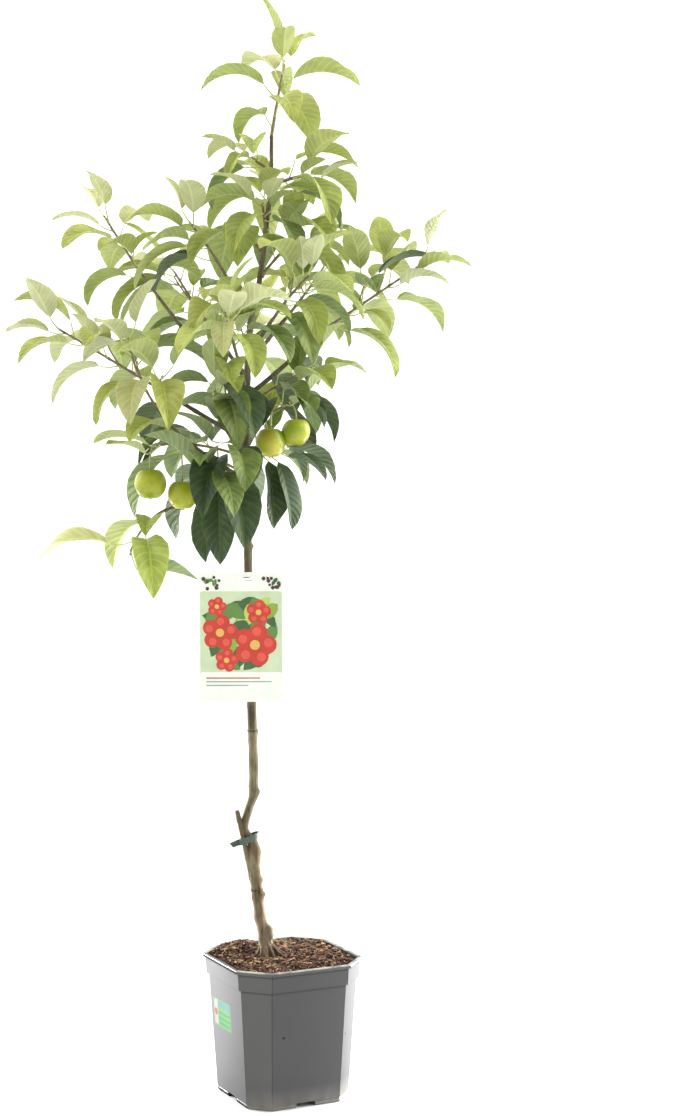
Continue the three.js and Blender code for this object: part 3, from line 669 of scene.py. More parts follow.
def tone(code):
    """A colour as Blender keeps it, from its usual six-digit code."""
    parts = [int(code[i : i + 2], 16) / 255 for i in (0, 2, 4)]
    return tuple(c / 12.92 if c <= 0.04045 else ((c + 0.055) / 1.055) ** 2.4 for c in parts)


def rgba(colour, gain=1.0):
    return (*(min(1.0, c * gain) for c in colour[:3]), 1.0)


def shades(colour, *gains):
    """A colour made darker or brighter by each gain in turn."""
    return [tuple(c * gain for c in colour) for gain in gains]


SPOT_EDGE = 1.5  # where a spot's soft edge ends, in its own radius


class Nodes:
    """A node tree, and short ways to add to it."""

    def __init__(self, tree):
        self.nodes, self.links = tree.nodes, tree.links

    def set(self, node, socket, value):
        if isinstance(value, bpy.types.NodeSocket):
            self.links.new(value, node.inputs[socket])
        else:
            node.inputs[socket].default_value = value

    def add(self, kind, **sockets):
        """A new node, with what feeds its sockets."""
        node = self.nodes.new("ShaderNode" + kind)
        for socket, value in sockets.items():
            self.set(node, socket.replace("_", " "), value)
        return node

    def axes(self, vector):
        """The three parts of a vector."""
        return self.add("SeparateXYZ", Vector=vector).outputs

    def sum(self, kind, a, b=0.0):
        node = self.nodes.new("ShaderNodeMath")
        node.operation = kind
        self.set(node, 0, a)
        self.set(node, 1, b)
        return node.outputs[0]

    def times(self, a, b):
        return self.sum("MULTIPLY", a, b)

    def less(self, a, b):
        return self.sum("SUBTRACT", a, b)

    def rest(self, share):
        """What a share leaves of the whole."""
        return self.less(1.0, share)

    def size(self, value):
        return self.sum("ABSOLUTE", value)


class Finish(Nodes):
    """A material with its shader."""

    def __init__(self, name, colour, roughness, gloss=0.5, **sockets):
        self.material = bpy.data.materials.new(name)
        self.material.use_nodes = True
        super().__init__(self.material.node_tree)
        self.shader = self.nodes["Principled BSDF"]
        given = {"Base Color": rgba(colour), "Roughness": roughness, "Specular IOR Level": gloss}
        for socket, value in (given | sockets).items():
            self.set(self.shader, socket, value)

    def place(self, scale=(1, 1, 1), turn=0.0):
        """Place on the piece, in metres, stretched by a scale or turned about its upright axis."""
        where = self.add("TexCoord").outputs["Object"]
        turned = (0, 0, radians(turn))
        return self.add("Mapping", Vector=where, Scale=scale, Rotation=turned).outputs[0]

    def noise(self, vector, scale, detail=3.0, roughness=0.5):
        given = {"Vector": vector, "Scale": scale, "Detail": detail, "Roughness": roughness}
        return self.add("TexNoise", **given).outputs["Fac"]

    def grain(self, scale, detail=3.0, roughness=0.5):
        """Noise on the piece as it stands."""
        return self.noise(self.place(), scale, detail, roughness)

    def spots(self, vector, scale, size):
        """One in small round spots, nought between them."""
        away = self.add("TexVoronoi", Vector=vector, Scale=scale).outputs["Distance"]
        return self.steps(away, (size, 1), (size * SPOT_EDGE, 0))

    def steps(self, value, *stops):
        """A grey ramp through (place, value) stops."""
        return self.ramp(value, *((place, (v, v, v)) for place, v in stops))

    def ramp(self, value, *stops):
        node = self.add("ValToRGB", Fac=value)
        elements = node.color_ramp.elements
        while len(elements) < len(stops):
            elements.new(0.5)
        for element, (place, colour) in zip(elements, stops):
            element.position = place
            element.color = rgba(colour)
        return node.outputs["Color"]

    def mix(self, share, a, b, blend="MIX"):
        node = self.nodes.new("ShaderNodeMix")
        node.data_type = "RGBA"
        node.blend_type = blend
        self.set(node, 0, share)
        for index, value in ((6, a), (7, b)):
            self.set(node, index, value if isinstance(value, bpy.types.NodeSocket) else rgba(value))
        return node.outputs[2]

    def colour(self, socket):
        self.set(self.shader, "Base Color", socket)
        return self

    def bump(self, height, distance, strength=1.0):
        node = self.add("Bump", Height=height, Distance=distance, Strength=strength)
        before = self.shader.inputs["Normal"]
        if before.is_linked:
            self.set(node, "Normal", before.links[0].from_socket)
        self.set(self.shader, "Normal", node.outputs[0])
        return self

    def see_through_to_light(self, share, colour):
        """Lets part of the light behind a thin blade through, in its own colour."""
        both = self.add("MixShader", Fac=share)
        self.set(both, 1, self.shader.outputs[0])
        self.set(both, 2, self.add("BsdfTranslucent", Color=rgba(colour)).outputs[0])
        self.set(self.nodes["Material Output"], "Surface", both.outputs[0])
        return self


def height_share(finish, low, high):
    """Nought below one height of the piece and one above another."""
    height = finish.axes(finish.place())[2]
    return finish.add("MapRange", Value=height, From_Min=low, From_Max=high).outputs[0]


LEDGE_EDGE = 0.0002


def shade_under(finish, low, high):
    """Painted shade under a ledge: full at the ledge's height, nought at the lower height and above the
    ledge.
    """
    above = finish.rest(height_share(finish, high, high + LEDGE_EDGE))
    return finish.times(above, height_share(finish, low, high))


# Heights in metres over which the bark changes, and how dark its foot is
BARK_BANDS = {"foot": (0.192, 0.216), "tan": (0.266, 0.276), "olive": (0.349, 0.404), "brown": (0.824, 1.004)}
BARK_LOOK = {
    "streaks": ((0.33, 0.42), (0.5, 0.95), (0.68, 1.46)), "pale": ((0.52, 0), (0.68, 0.55)),
    "dark": ((0.32, 0.5), (0.46, 0)), "scar_shadow": ((0.36, 0.35), (0.6, 0.95)),
    "pores": (150, 0.1, 0.55),  # scale, size, strength
    "foot": 0.55,
    "scar": (3, 0.5),  # how far in millimetres the painted shadow under a ring reaches below and above its height
    "relief": (0.0009, 0.7, 0.0004, 0.6),
}


def bark_finish(name, colours, fine):
    """Streaked bark: pale below the graft, tan and olive above it, brown up in the crown, with painted shadow
    under its ring scars.
    """
    look = BARK_LOOK
    finish = Finish(name, colours.bark_low, 0.88, gloss=0.1)
    streak = finish.noise(finish.place((1, 1, 0.14)), 260 * fine, 5, 0.62)
    patch = finish.noise(finish.place((1, 1, 0.45)), 46 * fine, 3)
    foot, tan, olive, brown = (height_share(finish, *band) for band in BARK_BANDS.values())
    base = finish.mix(tan, colours.bark_low, colours.bark_graft)
    base = finish.mix(finish.times(finish.rest(foot), look["foot"]), base, tone("403427"))
    base = finish.mix(olive, base, colours.bark_mid)
    base = finish.mix(brown, base, colours.bark_high)
    base = finish.mix(1.0, base, finish.steps(streak, *look["streaks"]), "MULTIPLY")
    base = finish.mix(finish.steps(patch, *look["pale"]), base, colours.bark_pale)
    base = finish.mix(finish.steps(patch, *look["dark"]), base, tone("3a3327"))
    scale, size, strength = look["pores"]
    pores = finish.spots(finish.place((1, 1, 1.9)), scale * fine, size)
    base = finish.mix(finish.times(pores, strength), base, colours.bark_pale)
    # A painted shadow under each ring scar, broken up by the patches
    below, over = look["scar"]
    for height, _ in SCARS:
        scar = shade_under(finish, (height - below) * MM, (height + over) * MM)
        scar_shadow = finish.times(scar, finish.steps(patch, *look["scar_shadow"]))
        base = finish.mix(scar_shadow, base, tone("2b251c"))
    deep, strong, shallow, weak = look["relief"]
    return finish.colour(base).bump(streak, deep, strong).bump(pores, shallow, weak).material


LEAF_LOOK = {
    "veins": 10.0,  # pairs of side veins
    "lean": 0.4, "vein": ((0.74, 0), (0.96, 1)), "rim": ((0.455, 0), (0.49, 0.5)),
    "midrib": ((0.018, 0.9), (0.05, 0)),
    "pale": 1.35,  # midrib, veins and the rim's painted light, against the glow
    "deep": 0.78,
    "mottle": (0.36, 0.5, 0.68),  # where the deep tone, the plain one and the glow lie
    "relief": (0.0012, 0.5), "face_veins": 0.54, "back_veins": 0.76, "back_glow": 1.12,
}


def leaf_finish(name, colour, glow, vein, share):
    """A blade's face: side veins that lean forward from the midrib, puckered green between, a pale rim of
    painted light as if lit from behind.
    """
    look = LEAF_LOOK
    finish = Finish(name, colour, 0.5, gloss=0.3)
    where = finish.add("UVMap")
    where.uv_map = "along"
    wide, length, _ = finish.axes(where.outputs[0])
    out = finish.size(finish.less(wide, 0.5))
    lean = finish.less(length, finish.times(out, look["lean"]))
    saw = finish.sum("FRACT", finish.times(lean, look["veins"]))
    peak = finish.times(finish.size(finish.less(saw, 0.5)), 2.0)
    veins = finish.times(finish.steps(peak, *look["vein"]), vein)
    # The pale rim is painted light: the blade's edge as if lit from behind
    rim = finish.steps(out, *look["rim"])
    midrib = finish.steps(out, *look["midrib"])
    pale = tuple(min(1.0, c * look["pale"]) for c in glow)
    deep = tuple(c * look["deep"] for c in colour)
    mottle = finish.grain(48, 3)
    base = finish.ramp(mottle, *zip(look["mottle"], (deep, colour, glow)))
    for mask in (midrib, veins, rim):
        base = finish.mix(mask, base, pale)
    return finish.colour(base).bump(peak, *look["relief"]).see_through_to_light(share, pale).material


def plain_finish(name, colour, roughness, grain=200, depth=0.0002, spread=0.12, **sockets):
    """Moulded or painted stuff with a fine grain and a slight change of shade."""
    finish = Finish(name, colour, roughness, **sockets)
    shade = finish.grain(grain / 8, 3)
    fine = finish.grain(grain, 2)
    low, high = shades(colour, 1 - spread, 1 + spread)
    finish.colour(finish.ramp(shade, (0.3, low), (0.7, high)))
    return finish.bump(fine, depth, 0.5).material


# ---- what a user may change


class AppleTreeSizes(bpy.types.PropertyGroup):
    """Sizes and counts of the tree's finer forms."""

    bark_relief: FloatProperty(
        name="Bark relief", description="How far the bark's ridges stand out", default=0.00035,
        unit="LENGTH"
    )
    leaf_thickness: FloatProperty(
        name="Leaf thickness", description="Thickness of a blade beside its rib", default=0.0004,
        unit="LENGTH"
    )
    leaf_rows: IntProperty(name="Leaf rows", description="Rows of faces along a blade", default=11, min=6)
    small_leaves: FloatProperty(
        name="Small leaves", description="Smaller leaves, as a share of the full ones", default=0.14,
        subtype="FACTOR"
    )
    soil_lumps: FloatProperty(
        name="Soil lumps", description="Height of the lumps in the bark mix", default=0.005,
        unit="LENGTH"
    )
    chips: IntProperty(name="Bark chips", description="Loose chips on the soil", default=2600, min=0)


class AppleTreeColours(bpy.types.PropertyGroup):
    """Colours of the tree, its fruit and its pot."""

    bark_low: FloatVectorProperty(
        name="Rootstock bark", description="Below the graft", default=tone("80705d"), subtype="COLOR"
    )
    bark_graft: FloatVectorProperty(
        
        name="Graft bark", description="From the graft to the tie", default=tone("665945"), subtype="COLOR"
    )
    bark_mid: FloatVectorProperty(
        name="Stem bark", description="Above the graft", default=tone("5c5644"), subtype="COLOR"
    )
    bark_high: FloatVectorProperty(
        name="Crown bark", description="Up in the crown", default=tone("736a5a"), subtype="COLOR"
    )
    bark_pale: FloatVectorProperty(
        name="Bark pores", description="Pores and dry skin", default=tone("928a70"), subtype="COLOR"
    )
    twig: FloatVectorProperty(
        name="Young twig", description="This year's shoots", default=tone("7d7055"), subtype="COLOR"
    )
    stalk: FloatVectorProperty(
        name="Leaf stalk", description="Stalks and midribs", default=tone("c3cb86"), subtype="COLOR"
    )
    pot: FloatVectorProperty(
        name="Pot", description="Moulded grey plastic", default=tone("3e3e40"), subtype="COLOR"
    )
    soil: FloatVectorProperty(
        name="Soil", description="Damp bark mix", default=tone("251b15"), subtype="COLOR"
    )
    apple: FloatVectorProperty(
        name="Apple", description="Unripe skin", default=tone("a8aa24"), subtype="COLOR"
    )


# From the youngest leaves to the most shaded: upper face, its glow, lower face, light let through
LEAF_TONES = {
    "leaves_young": ("afb17b", "c5c597", "bcc0a2", 0.42),
    "leaves_light": ("a2a65a", "b9bf70", "afb683", 0.38),
    "leaves_mid": ("99a357", "b2bb67", "adb882", 0.32),
    "leaves_deep": ("71844a", "8f9d57", "8d9e6d", 0.26),
    "leaves_dark": ("44573a", "556740", "637353", 0.2),
}
SHARES = (0.16, 0.45, 0.7, 0.87)  # of the leaves, from the youngest tone on
# Smaller leaves: size, age and how far they keep from limbs, leaves and fruit
FILL = {"seed": 500, "small": 0.6, "largest": 0.9, "age": 0.3, "tries": 6, "turn": 97}
FILL |= {"limb": 3, "leaf": 5, "fruit": 2}


# ---- bark and twigs


# Burrs: height, side in degrees, how far it stands out, how tall it is, how narrow
BURRS = (
    (230, -14, 3.2, 4.5, 10), (218, -22, 2.4, 4, 14), (213, 200, 1.6, 5, 8), (276, -4, 2.6, 3, 12),
    (270, 190, 1.3, 5, 6), (295, 2, 1.8, 3.5, 12), (326, -20, 1.4, 10, 5), (418, 4, 1.6, 3, 10),
    (504, -80, 1.0, 2.2, 4), (758, -6, 1.6, 3, 12),
)
# Rings that old buds left round the stem: height, how far they stand out in the bark's relief
SCARS = ((503, 2.2), (282, 3.0), (352, 1.6))
# Surface roots: side in degrees, reach beyond the trunk, thickness
ROOTS = (
    (192, 10, 3.0), (226, 8, 2.4), (262, 9, 3.4), (300, 9, 2.6), (334, 14, 2.8), (356, 17, 2.6),
    (70, 9, 2.8), (128, 8, 2.6),
)
# The way a root runs down: height over the soil, then the share of its reach
ROOT_RUN = ((28, -0.45), (20, -0.1), (12.5, 0.25), (6.5, 0.62), (2, 1.0), (-3, 1.25))
ROOT = {"sunk": 0.5, "wander": 3, "taper": 0.35, "uneven": 0.12, "step": 2.0, "sides": 10}
# The bark's form: how much of the flare, a swelling behind the card, how far knots stand out and how narrow
BARK = {"flare": 0.55, "swelling": (0.4, 520, 110), "knot": 0.8, "knot_narrow": 4}
BARK |= {"ridge": 1.9, "fine": 1.1, "ring": 1.3, "scar_tall": 2.0}
RINGS = {"above": 424, "every": 37.0, "at": 18.5, "tall": 1.6}
# Rows of faces up the trunk: close together below a height, further apart above it
TRUNK_ROWS = {"sides": 32, "sunk": 4, "change": 434, "low": 1.8, "high": 3.0, "over": 2}
STUB_RINGS = {"rows": 44, "every": 11, "at": 5, "tall": 1.1, "out": 0.5, "rough": 1.5, "rim": 0.5}


def trunk_reach(z, angle):
    """How far the bark stands from the trunk's centre at a height and an angle."""
    foot = SOIL_TOP + GAP
    radius = trunk_near(z)[1]
    flare = max(0.0, 1 - (z - foot) / FLARE["height"]) ** 2
    lobe = FLARE["lobe"] * cos(FLARE["lobes"] * angle + radians(FLARE["turn"]))
    reach = radius * (1 + BARK["flare"] * flare * (FLARE["spread"] + lobe))
    out, height, tall = BARK["swelling"]
    reach += out * exp(-(((z - height) / tall) ** 4))
    bumps = [(z0, side, out * BARK["knot"], tall, BARK["knot_narrow"]) for z0, side, out, tall in KNOTS]
    for height, side, out, tall, narrow in [*bumps, *BURRS]:
        facing = max(0.0, cos(angle - radians(side)))
        reach += out * facing**narrow * hump(z, height, tall)
    return reach


def bark_relief(z, angle, depth):
    """Ridges drawn out up the trunk, fine ones across them, and the rings of old buds."""
    c, s = cos(angle), sin(angle)
    ridge = ripple(c * 2.6, s * 2.6, z * 0.035)
    fine = ripple(c * 7, s * 7, z * 0.09, 5.0)
    ring = hump(z % RINGS["every"], RINGS["at"], RINGS["tall"]) if z > RINGS["above"] else 0.0
    scar = sum(out * hump(z, height, BARK["scar_tall"]) for height, out in SCARS)
    return depth * (BARK["ridge"] * ridge + BARK["fine"] * fine + BARK["ring"] * ring + scar)


class APPLETREE_OT_bark(bpy.types.Operator):
    """Trunk from its flare to its tip, and the rootstock's cut stub"""

    bl_idname = "apple_tree.bark"
    bl_label = "Trunk and stub"

    def execute(self, context):
        sizes, colours = context.scene.apple_tree_sizes, context.scene.apple_tree_colours
        bark = bark_finish("bark", colours, 1.0)
        depth = sizes.bark_relief / MM
        rows = TRUNK_ROWS
        shape, sides, change, tip = Shape(), rows["sides"], rows["change"], TRUNK[-1][0]
        heights = list(np.arange(SOIL_TOP - rows["sunk"], change, rows["low"]))
        heights += [*np.arange(change, tip, rows["high"]), tip + rows["over"]]
        points = []
        for z in heights:
            centre = trunk_near(z)[0]
            for a in circle(sides):
                reach = trunk_reach(z, a) + bark_relief(z, a, depth)
                points.append((centre[0] + reach * cos(a), centre[1] + reach * sin(a), z))
        shape.add(points, tube_faces(len(heights), sides))
        for number, root in enumerate(ROOTS):
            self.root(shape, number, *root)
        shape.build("trunk_bark", [bark], ["trunk"], "bark")
        self.stub(depth, bark)
        return {"FINISHED"}

    def root(self, shape, number, side, beyond, thick):
        """A surface root that runs down the flare into the soil."""
        level = heading(side, 0)
        aside = np.cross(UP, level) * ROOT["wander"] * ripple(number * 1.3, 0.2, 0.7)
        path = []
        for height, share in ROOT_RUN:
            centre, radius = trunk_at(SOIL_TOP + height)
            path.append(centre + level * (radius - thick * ROOT["sunk"] + beyond * share) + aside * share)
        line = smooth_path(path, ROOT["step"])
        last = len(line) - 1
        radii = []
        for i in range(last + 1):
            uneven = ROOT["uneven"] * ripple(number, i * 0.45, 0.3)
            radii.append(thick * (1 - ROOT["taper"] * i / last + uneven))
        shape.tube(line, radii, ROOT["sides"])

    def stub(self, depth, bark):
        """The rootstock's stub, ringed as the trunk is, with bare wood at its cut."""
        foot, head = np.array(STUB["foot"], float), np.array(STUB["head"], float)
        rings, rows = STUB_RINGS, STUB_RINGS["rows"]
        line = [foot + (head - foot) * k / rows for k in range(rows + 1)]
        low, high = STUB["radius"]
        radii = []
        for k in range(rows + 1):
            ring = rings["out"] * hump(k % rings["every"], rings["at"], rings["tall"])
            rough = depth * rings["rough"] * ripple(0.7, 0.2, k * 0.5)
            radii.append(low + (high - low) * k / rows + ring + rough)
        radii[-1] -= rings["rim"]
        shape = Shape()
        shape.tube(line, radii, SIDES["stub"])
        shape.slots[-1] = 1
        wood = plain_finish("stub_cut", tone("4a4334"), 0.9, 600, 0.0004, 0.3)
        shape.build("rootstock_stub_bark", [bark, wood], ["rootstock_stub"], "bark")


LIMB_STEP = 4.0  # between the rings of a limb
SIDES = {"stub": 16, "bough": 14, "stem": 9, "spur": 7, "collar": 12, "bud": 6, "stalk": 6}
BOUGH_NODES = {"out": 0.5, "every": 9, "at": 4, "tall": 0.8, "tip": 0.1}
STEM = {"foot": 0.25, "tip": 0.1, "uneven": 0.12, "node": 0.45, "node_tall": 0.8, "collar": 0.6}
SPUR_RADIUS = (1.3, 0.4)  # at the foot, and how much less at the tip
# Collars: how far out from the trunk's line, in the trunk's radius, and how thick, in the limb's own
COLLAR = ((0.5, 1.7), (1.0, 1.6), (1.35, 1.35), (1.8, 1.12), (2.4, 0.9))
LEVEL_LEAST = 0.35
# Buds: how far up its twig and out from it one sits, how it leans, then its length and radius by rings
BUD = {"up": 2.2, "out": 0.6, "lean": 1.2, "rings": ((0, 1.0), (1.2, 1.15), (2.6, 0.85), (4.2, 0.15))}


class APPLETREE_OT_twigs(bpy.types.Operator):
    """Boughs, the stems that grow on from them, side spurs and buds"""

    bl_idname = "apple_tree.twigs"
    bl_label = "Boughs and twigs"

    def execute(self, context):
        colours = context.scene.apple_tree_colours
        made = crown()
        bark = bark_finish("bough_bark", colours, 1.5)
        young = Finish("young_twig", colours.twig, 0.6, gloss=0.35)
        streak = young.grain(300, 4)
        dark, pale = shades(colours.twig, 0.7, 1.35)
        young.colour(young.ramp(streak, (0.35, dark), (0.68, pale))).bump(streak, 0.0004, 0.4)
        boughs, twigs = Shape(), Shape()
        for bough in made["boughs"].values():
            line = smooth_path(bough["path"], LIMB_STEP)
            boughs.tube(line, self.girth(bough, line), SIDES["bough"])
            self.collar(boughs, bough["path"], bough["foot"])
        for mass in made["masses"].values():
            line = smooth_path(mass["stem"], LIMB_STEP)
            twigs.tube(line, self.stem_girth(mass, len(line) - 1), SIDES["stem"])
            if not isinstance(mass["on"], str):
                self.collar(twigs, mass["stem"], TWIG["foot"] + STEM["collar"])
            for twig in mass["twigs"]:
                fine = smooth_path(twig, LIMB_STEP)
                foot, less = SPUR_RADIUS
                radii = [foot - less * i / (len(fine) - 1) for i in range(len(fine))]
                twigs.tube(fine, radii, SIDES["spur"])
            self.buds(twigs, mass)
        boughs.build("bough_bark", [bark], list(BOUGHS), "bark")
        twigs.build("twigs", [young.material], list(MASSES), "bark")
        return {"FINISHED"}

    def stem_girth(self, mass, last):
        """Radii along a mass's stem, thicker under each leaf."""
        foot = TRUNK[-1][3] if mass["on"] == "trunk_tip" else TWIG["foot"] + STEM["foot"]
        tip = TWIG["tip"] - STEM["tip"]
        radii = []
        for i in range(last + 1):
            radii.append(foot + (tip - foot) * i / last + STEM["uneven"] * ripple(0.3, 0.1, i * 0.8))
        for leaf in mass["foliage"]:
            path, s = leaf["stands_on"]
            if path is mass["stem"]:
                at = s * last
                for i in range(max(0, int(at) - 1), min(last, int(at) + 2) + 1):
                    radii[i] += STEM["node"] * exp(-((i - at) ** 2) / STEM["node_tall"])
        return radii

    def girth(self, bough, line):
        """Radii along a bough, with a ring at every few steps."""
        node = BOUGH_NODES
        last = len(line) - 1
        radii = []
        for i in range(last + 1):
            ring = node["out"] * hump(i % node["every"], node["at"], node["tall"])
            radii.append(bough["foot"] + (bough["tip"] - bough["foot"]) * i / last + ring)
        radii[-1] = bough["tip"] - node["tip"]
        return radii

    def collar(self, shape, path, foot):
        """The swelling where a limb leaves the trunk."""
        reach = trunk_at(min(float(path[0][2]), TRUNK[-1][0]))[1]
        ahead = unit(path[1] - path[0])
        level = max(LEVEL_LEAST, hypot(ahead[0], ahead[1]))
        line = [path[0] + ahead * (reach * out / level) for out, _ in COLLAR]
        shape.tube(line, [foot * thick for _, thick in COLLAR], SIDES["collar"])

    def buds(self, shape, mass):
        """A small pointed bud above each leaf's foot."""
        for leaf in mass["foliage"]:
            path, s = leaf["stands_on"]
            point, direction = along(path, min(s, LIMB_END))
            out = unit(leaf["petiole"][1] - leaf["petiole"][0])
            lean = unit(direction * BUD["lean"] + out)
            root = point + direction * BUD["up"] + out * BUD["out"]
            line = [root + lean * length for length, _ in BUD["rings"]]
            shape.tube(line, [radius for _, radius in BUD["rings"]], SIDES["bud"])


# ---- leaves


STALK_RADII = (1.5, 1.05, 0.95, 0.9, 0.8)
LEAF_SEED = 11
LEAF_CREASE = 50
# How shaded a leaf is: what each cause adds, and in millimetres where it starts and ends
SHADE = {
    "inner": (0.25, 0.75, 220),  # what stands near the trunk, in the upper crown and besides in the lower
    "low": (884, 240),
    "high": (1120, 160, 0.22),
    "outer": (130, 60, 0.3),  # low leaves far out are lit from the side
    "young": 0.22,
    "odd": (0.95, 0.75, 0.9),  # a few of any place are dark: from which chance, up to which age, by how much
    "chance": 0.24,
}
BLADE = {
    "turn": 6.283,
    "knee": 0.55,  # the share of a wing at which it bends down
    "folds": (8, -14), "waves": (0.8, 0.9), "height": (0.01, 0.03, 1.5), "swell": (0.02, 0.05),
    "swell_lag": 1.3, "wave_lag": 0.9, "teeth": 0.025,
    "keel": (0.8, 0.6),  # how deep the midrib hangs at its foot, and how much of that is gone at the tip
}


class APPLETREE_OT_leaves(bpy.types.Operator):
    """Every leaf with its stalk, dealt out to pieces by tone"""

    bl_idname = "apple_tree.leaves"
    bl_label = "Leaves"

    def execute(self, context):
        sizes, colours = context.scene.apple_tree_sizes, context.scene.apple_tree_colours
        made = crown()
        grown = [(mass, leaf) for mass in made["masses"].values() for leaf in mass["foliage"]]
        grown += fill_crown(sizes.small_leaves)
        shapes = {name: Shape() for name in LEAF_TONES}
        homes = {name: set() for name in LEAF_TONES}
        stalks = Shape()
        roll = dice(LEAF_SEED)
        marks = sorted(self.mark(leaf, roll) for _, leaf in grown)
        edges = [marks[int(len(marks) * share)] for share in SHARES]
        roll = dice(LEAF_SEED)
        for mass, leaf in grown:
            mark = self.mark(leaf, roll)
            name = list(LEAF_TONES)[sum(mark > edge for edge in edges)]
            self.blade(shapes[name], leaf, sizes, dice(int(leaf["length"] * 997)))
            homes[name].add(mass["name"])
            stalks.tube(bow(leaf["petiole"]), STALK_RADII, SIDES["stalk"])
        stalk = Finish("leaf_stalk", colours.stalk, 0.5, gloss=0.3)
        change = stalk.grain(90, 2)
        stalk.colour(stalk.ramp(change, (0.35, tone("a9b266")), (0.65, colours.stalk)))
        for name, (upper, glow, lower, share) in LEAF_TONES.items():
            kind = name.removeprefix("leaves_")
            veins = LEAF_LOOK["face_veins"]
            face = leaf_finish(f"leaf_{kind}_face", tone(upper), tone(glow), veins, share)
            under, bright = shades(tone(lower), 1, LEAF_LOOK["back_glow"])
            back = leaf_finish(f"leaf_{kind}_back", under, bright, LEAF_LOOK["back_veins"], share)
            pick(shapes[name].build(name, [face, back], sorted(homes[name]), "foliage"))
            crease(LEAF_CREASE)
        stalks.build("leaf_stalks", [stalk.material], list(MASSES), "foliage")
        return {"FINISHED"}

    def mark(self, leaf, roll):
        """How shaded a leaf is: low on young and outer leaves, high on old ones inside and below."""
        x, y, z = leaf["frames"][STATIONS // 2][0]
        axis = trunk_near(z)[0]
        away = hypot(x - axis[0], y - axis[1])

        def ramp(value, start, span):
            return min(1.0, max(0.0, (value - start) / span))

        everywhere, besides, reach = SHADE["inner"]
        low = 1 - ramp(z, *SHADE["low"])
        start, span, brighter = SHADE["high"]
        high = brighter * ramp(z, start, span)
        start, span, lit = SHADE["outer"]
        outer = low * ramp(away, start, span)
        inner = 1 - min(1.0, away / reach)
        shade = inner * (everywhere + besides * low) - SHADE["young"] * leaf["age"] - high - lit * outer
        chance, (rare, oldest, dark) = roll(), SHADE["odd"]
        if chance > rare and leaf["age"] < oldest:
            shade += dark
        return SHADE["chance"] * (chance - 0.5) + shade

    def blade(self, shape, leaf, sizes, roll):
        """A folded, gently waved blade: four strips above, and two below that meet in the midrib's keel."""
        rows = sizes.leaf_rows
        frames = blade_frames(leaf, rows)
        thick = sizes.leaf_thickness / MM
        turn, knee = BLADE["turn"], BLADE["knee"]
        inner, outer = (radians(leaf["fold"] + k) for k in BLADE["folds"])
        least, more = BLADE["waves"]
        phase, waves = turn * roll(), least + more * roll()
        least, more, power = BLADE["height"]
        height = leaf["length"] * (least + more * roll() ** power)
        least, more = BLADE["swell"]
        lean, swell = turn * roll(), least + more * roll()
        deep, fade = BLADE["keel"]
        points, uvs = [frames[0][0]], [(0.5, 0.0)]
        for i in range(1, rows):
            t = i / rows
            point, side, normal = frames[i]
            width = leaf["half"] * outline(t) * (1 - BLADE["teeth"] * (i % 2))
            for u in (-1, -knee, 0, knee, 1):
                a, sign = abs(u), (1 if u > 0 else -1)
                near, far = min(a, knee), max(0.0, a - knee)
                x = near * cos(inner) + far * cos(outer)
                x *= 1 + a * swell * sin(lean + sign * BLADE["swell_lag"] + turn * t)
                y = near * sin(inner) + far * sin(outer)
                wave = height * a * a * sin(phase + sign * BLADE["wave_lag"] + waves * turn * t)
                points.append(point + side * (sign * width * x) + normal * (width * y + wave))
                uvs.append((0.5 + u / 2, t))
            points.append(point - normal * (thick + deep * (1 - fade * t)))
            uvs.append((0.5, t))
        points.append(frames[rows][0])
        uvs.append((0.5, 1.0))
        tip = len(points) - 1
        faces, slots = [], []
        for columns, under in (((0, 1, 2, 3, 4), False), ((0, 5, 4), True)):
            for near, far in zip(columns, columns[1:]):
                strip = [(0, 1 + far, 1 + near)]
                for i in range(1, rows - 1):
                    a, b = 1 + (i - 1) * 6, 1 + i * 6
                    strip.append((a + near, a + far, b + far, b + near))
                last = 1 + (rows - 2) * 6
                strip.append((last + near, last + far, tip))
                faces += [face[::-1] if under else face for face in strip]
                slots += [int(under)] * len(strip)
        shape.add(points, faces, slots, uvs)


# ---- fruit


# An apple's form in its own radius: rows and sides, fullness, how wide, how tall, then its two hollows
APPLE = {
    "rows": 17, "sides": 26, "full": 0.86, "wide": (1.03, 0.07), "tall": APPLE_TALL * APPLE_SQUAT,
    "stalk_hollow": (0.2, 0.1, 0.25),  # depth and width of its rim, then how deep its floor lies
    "flower_hollow": (0.12, 0.09, 0.16),
    "lobes": (5, 0.035),
    "oval": 0.025,
    "lean": (0.5, 0.3),
}
# The dried flower end: how deep it starts and how far out, then out and down by rings, with their radii
CALYX = {"lobes": 5, "deep": 0.2, "out": 0.8, "sides": 5}
CALYX |= {"rings": ((0, 0, 1.0), (1.6, 2.2, 0.8), (0.9, 4.4, 0.15))}
# The fruit's stalk: where it enters the fruit, where it bows, its radius and how much more at both ends
FRUIT_STALK = {"in": 0.76, "shoulder": 0.7, "bow": 0.5, "step": 3.0, "radius": (1.15, 0.7), "sides": 8}


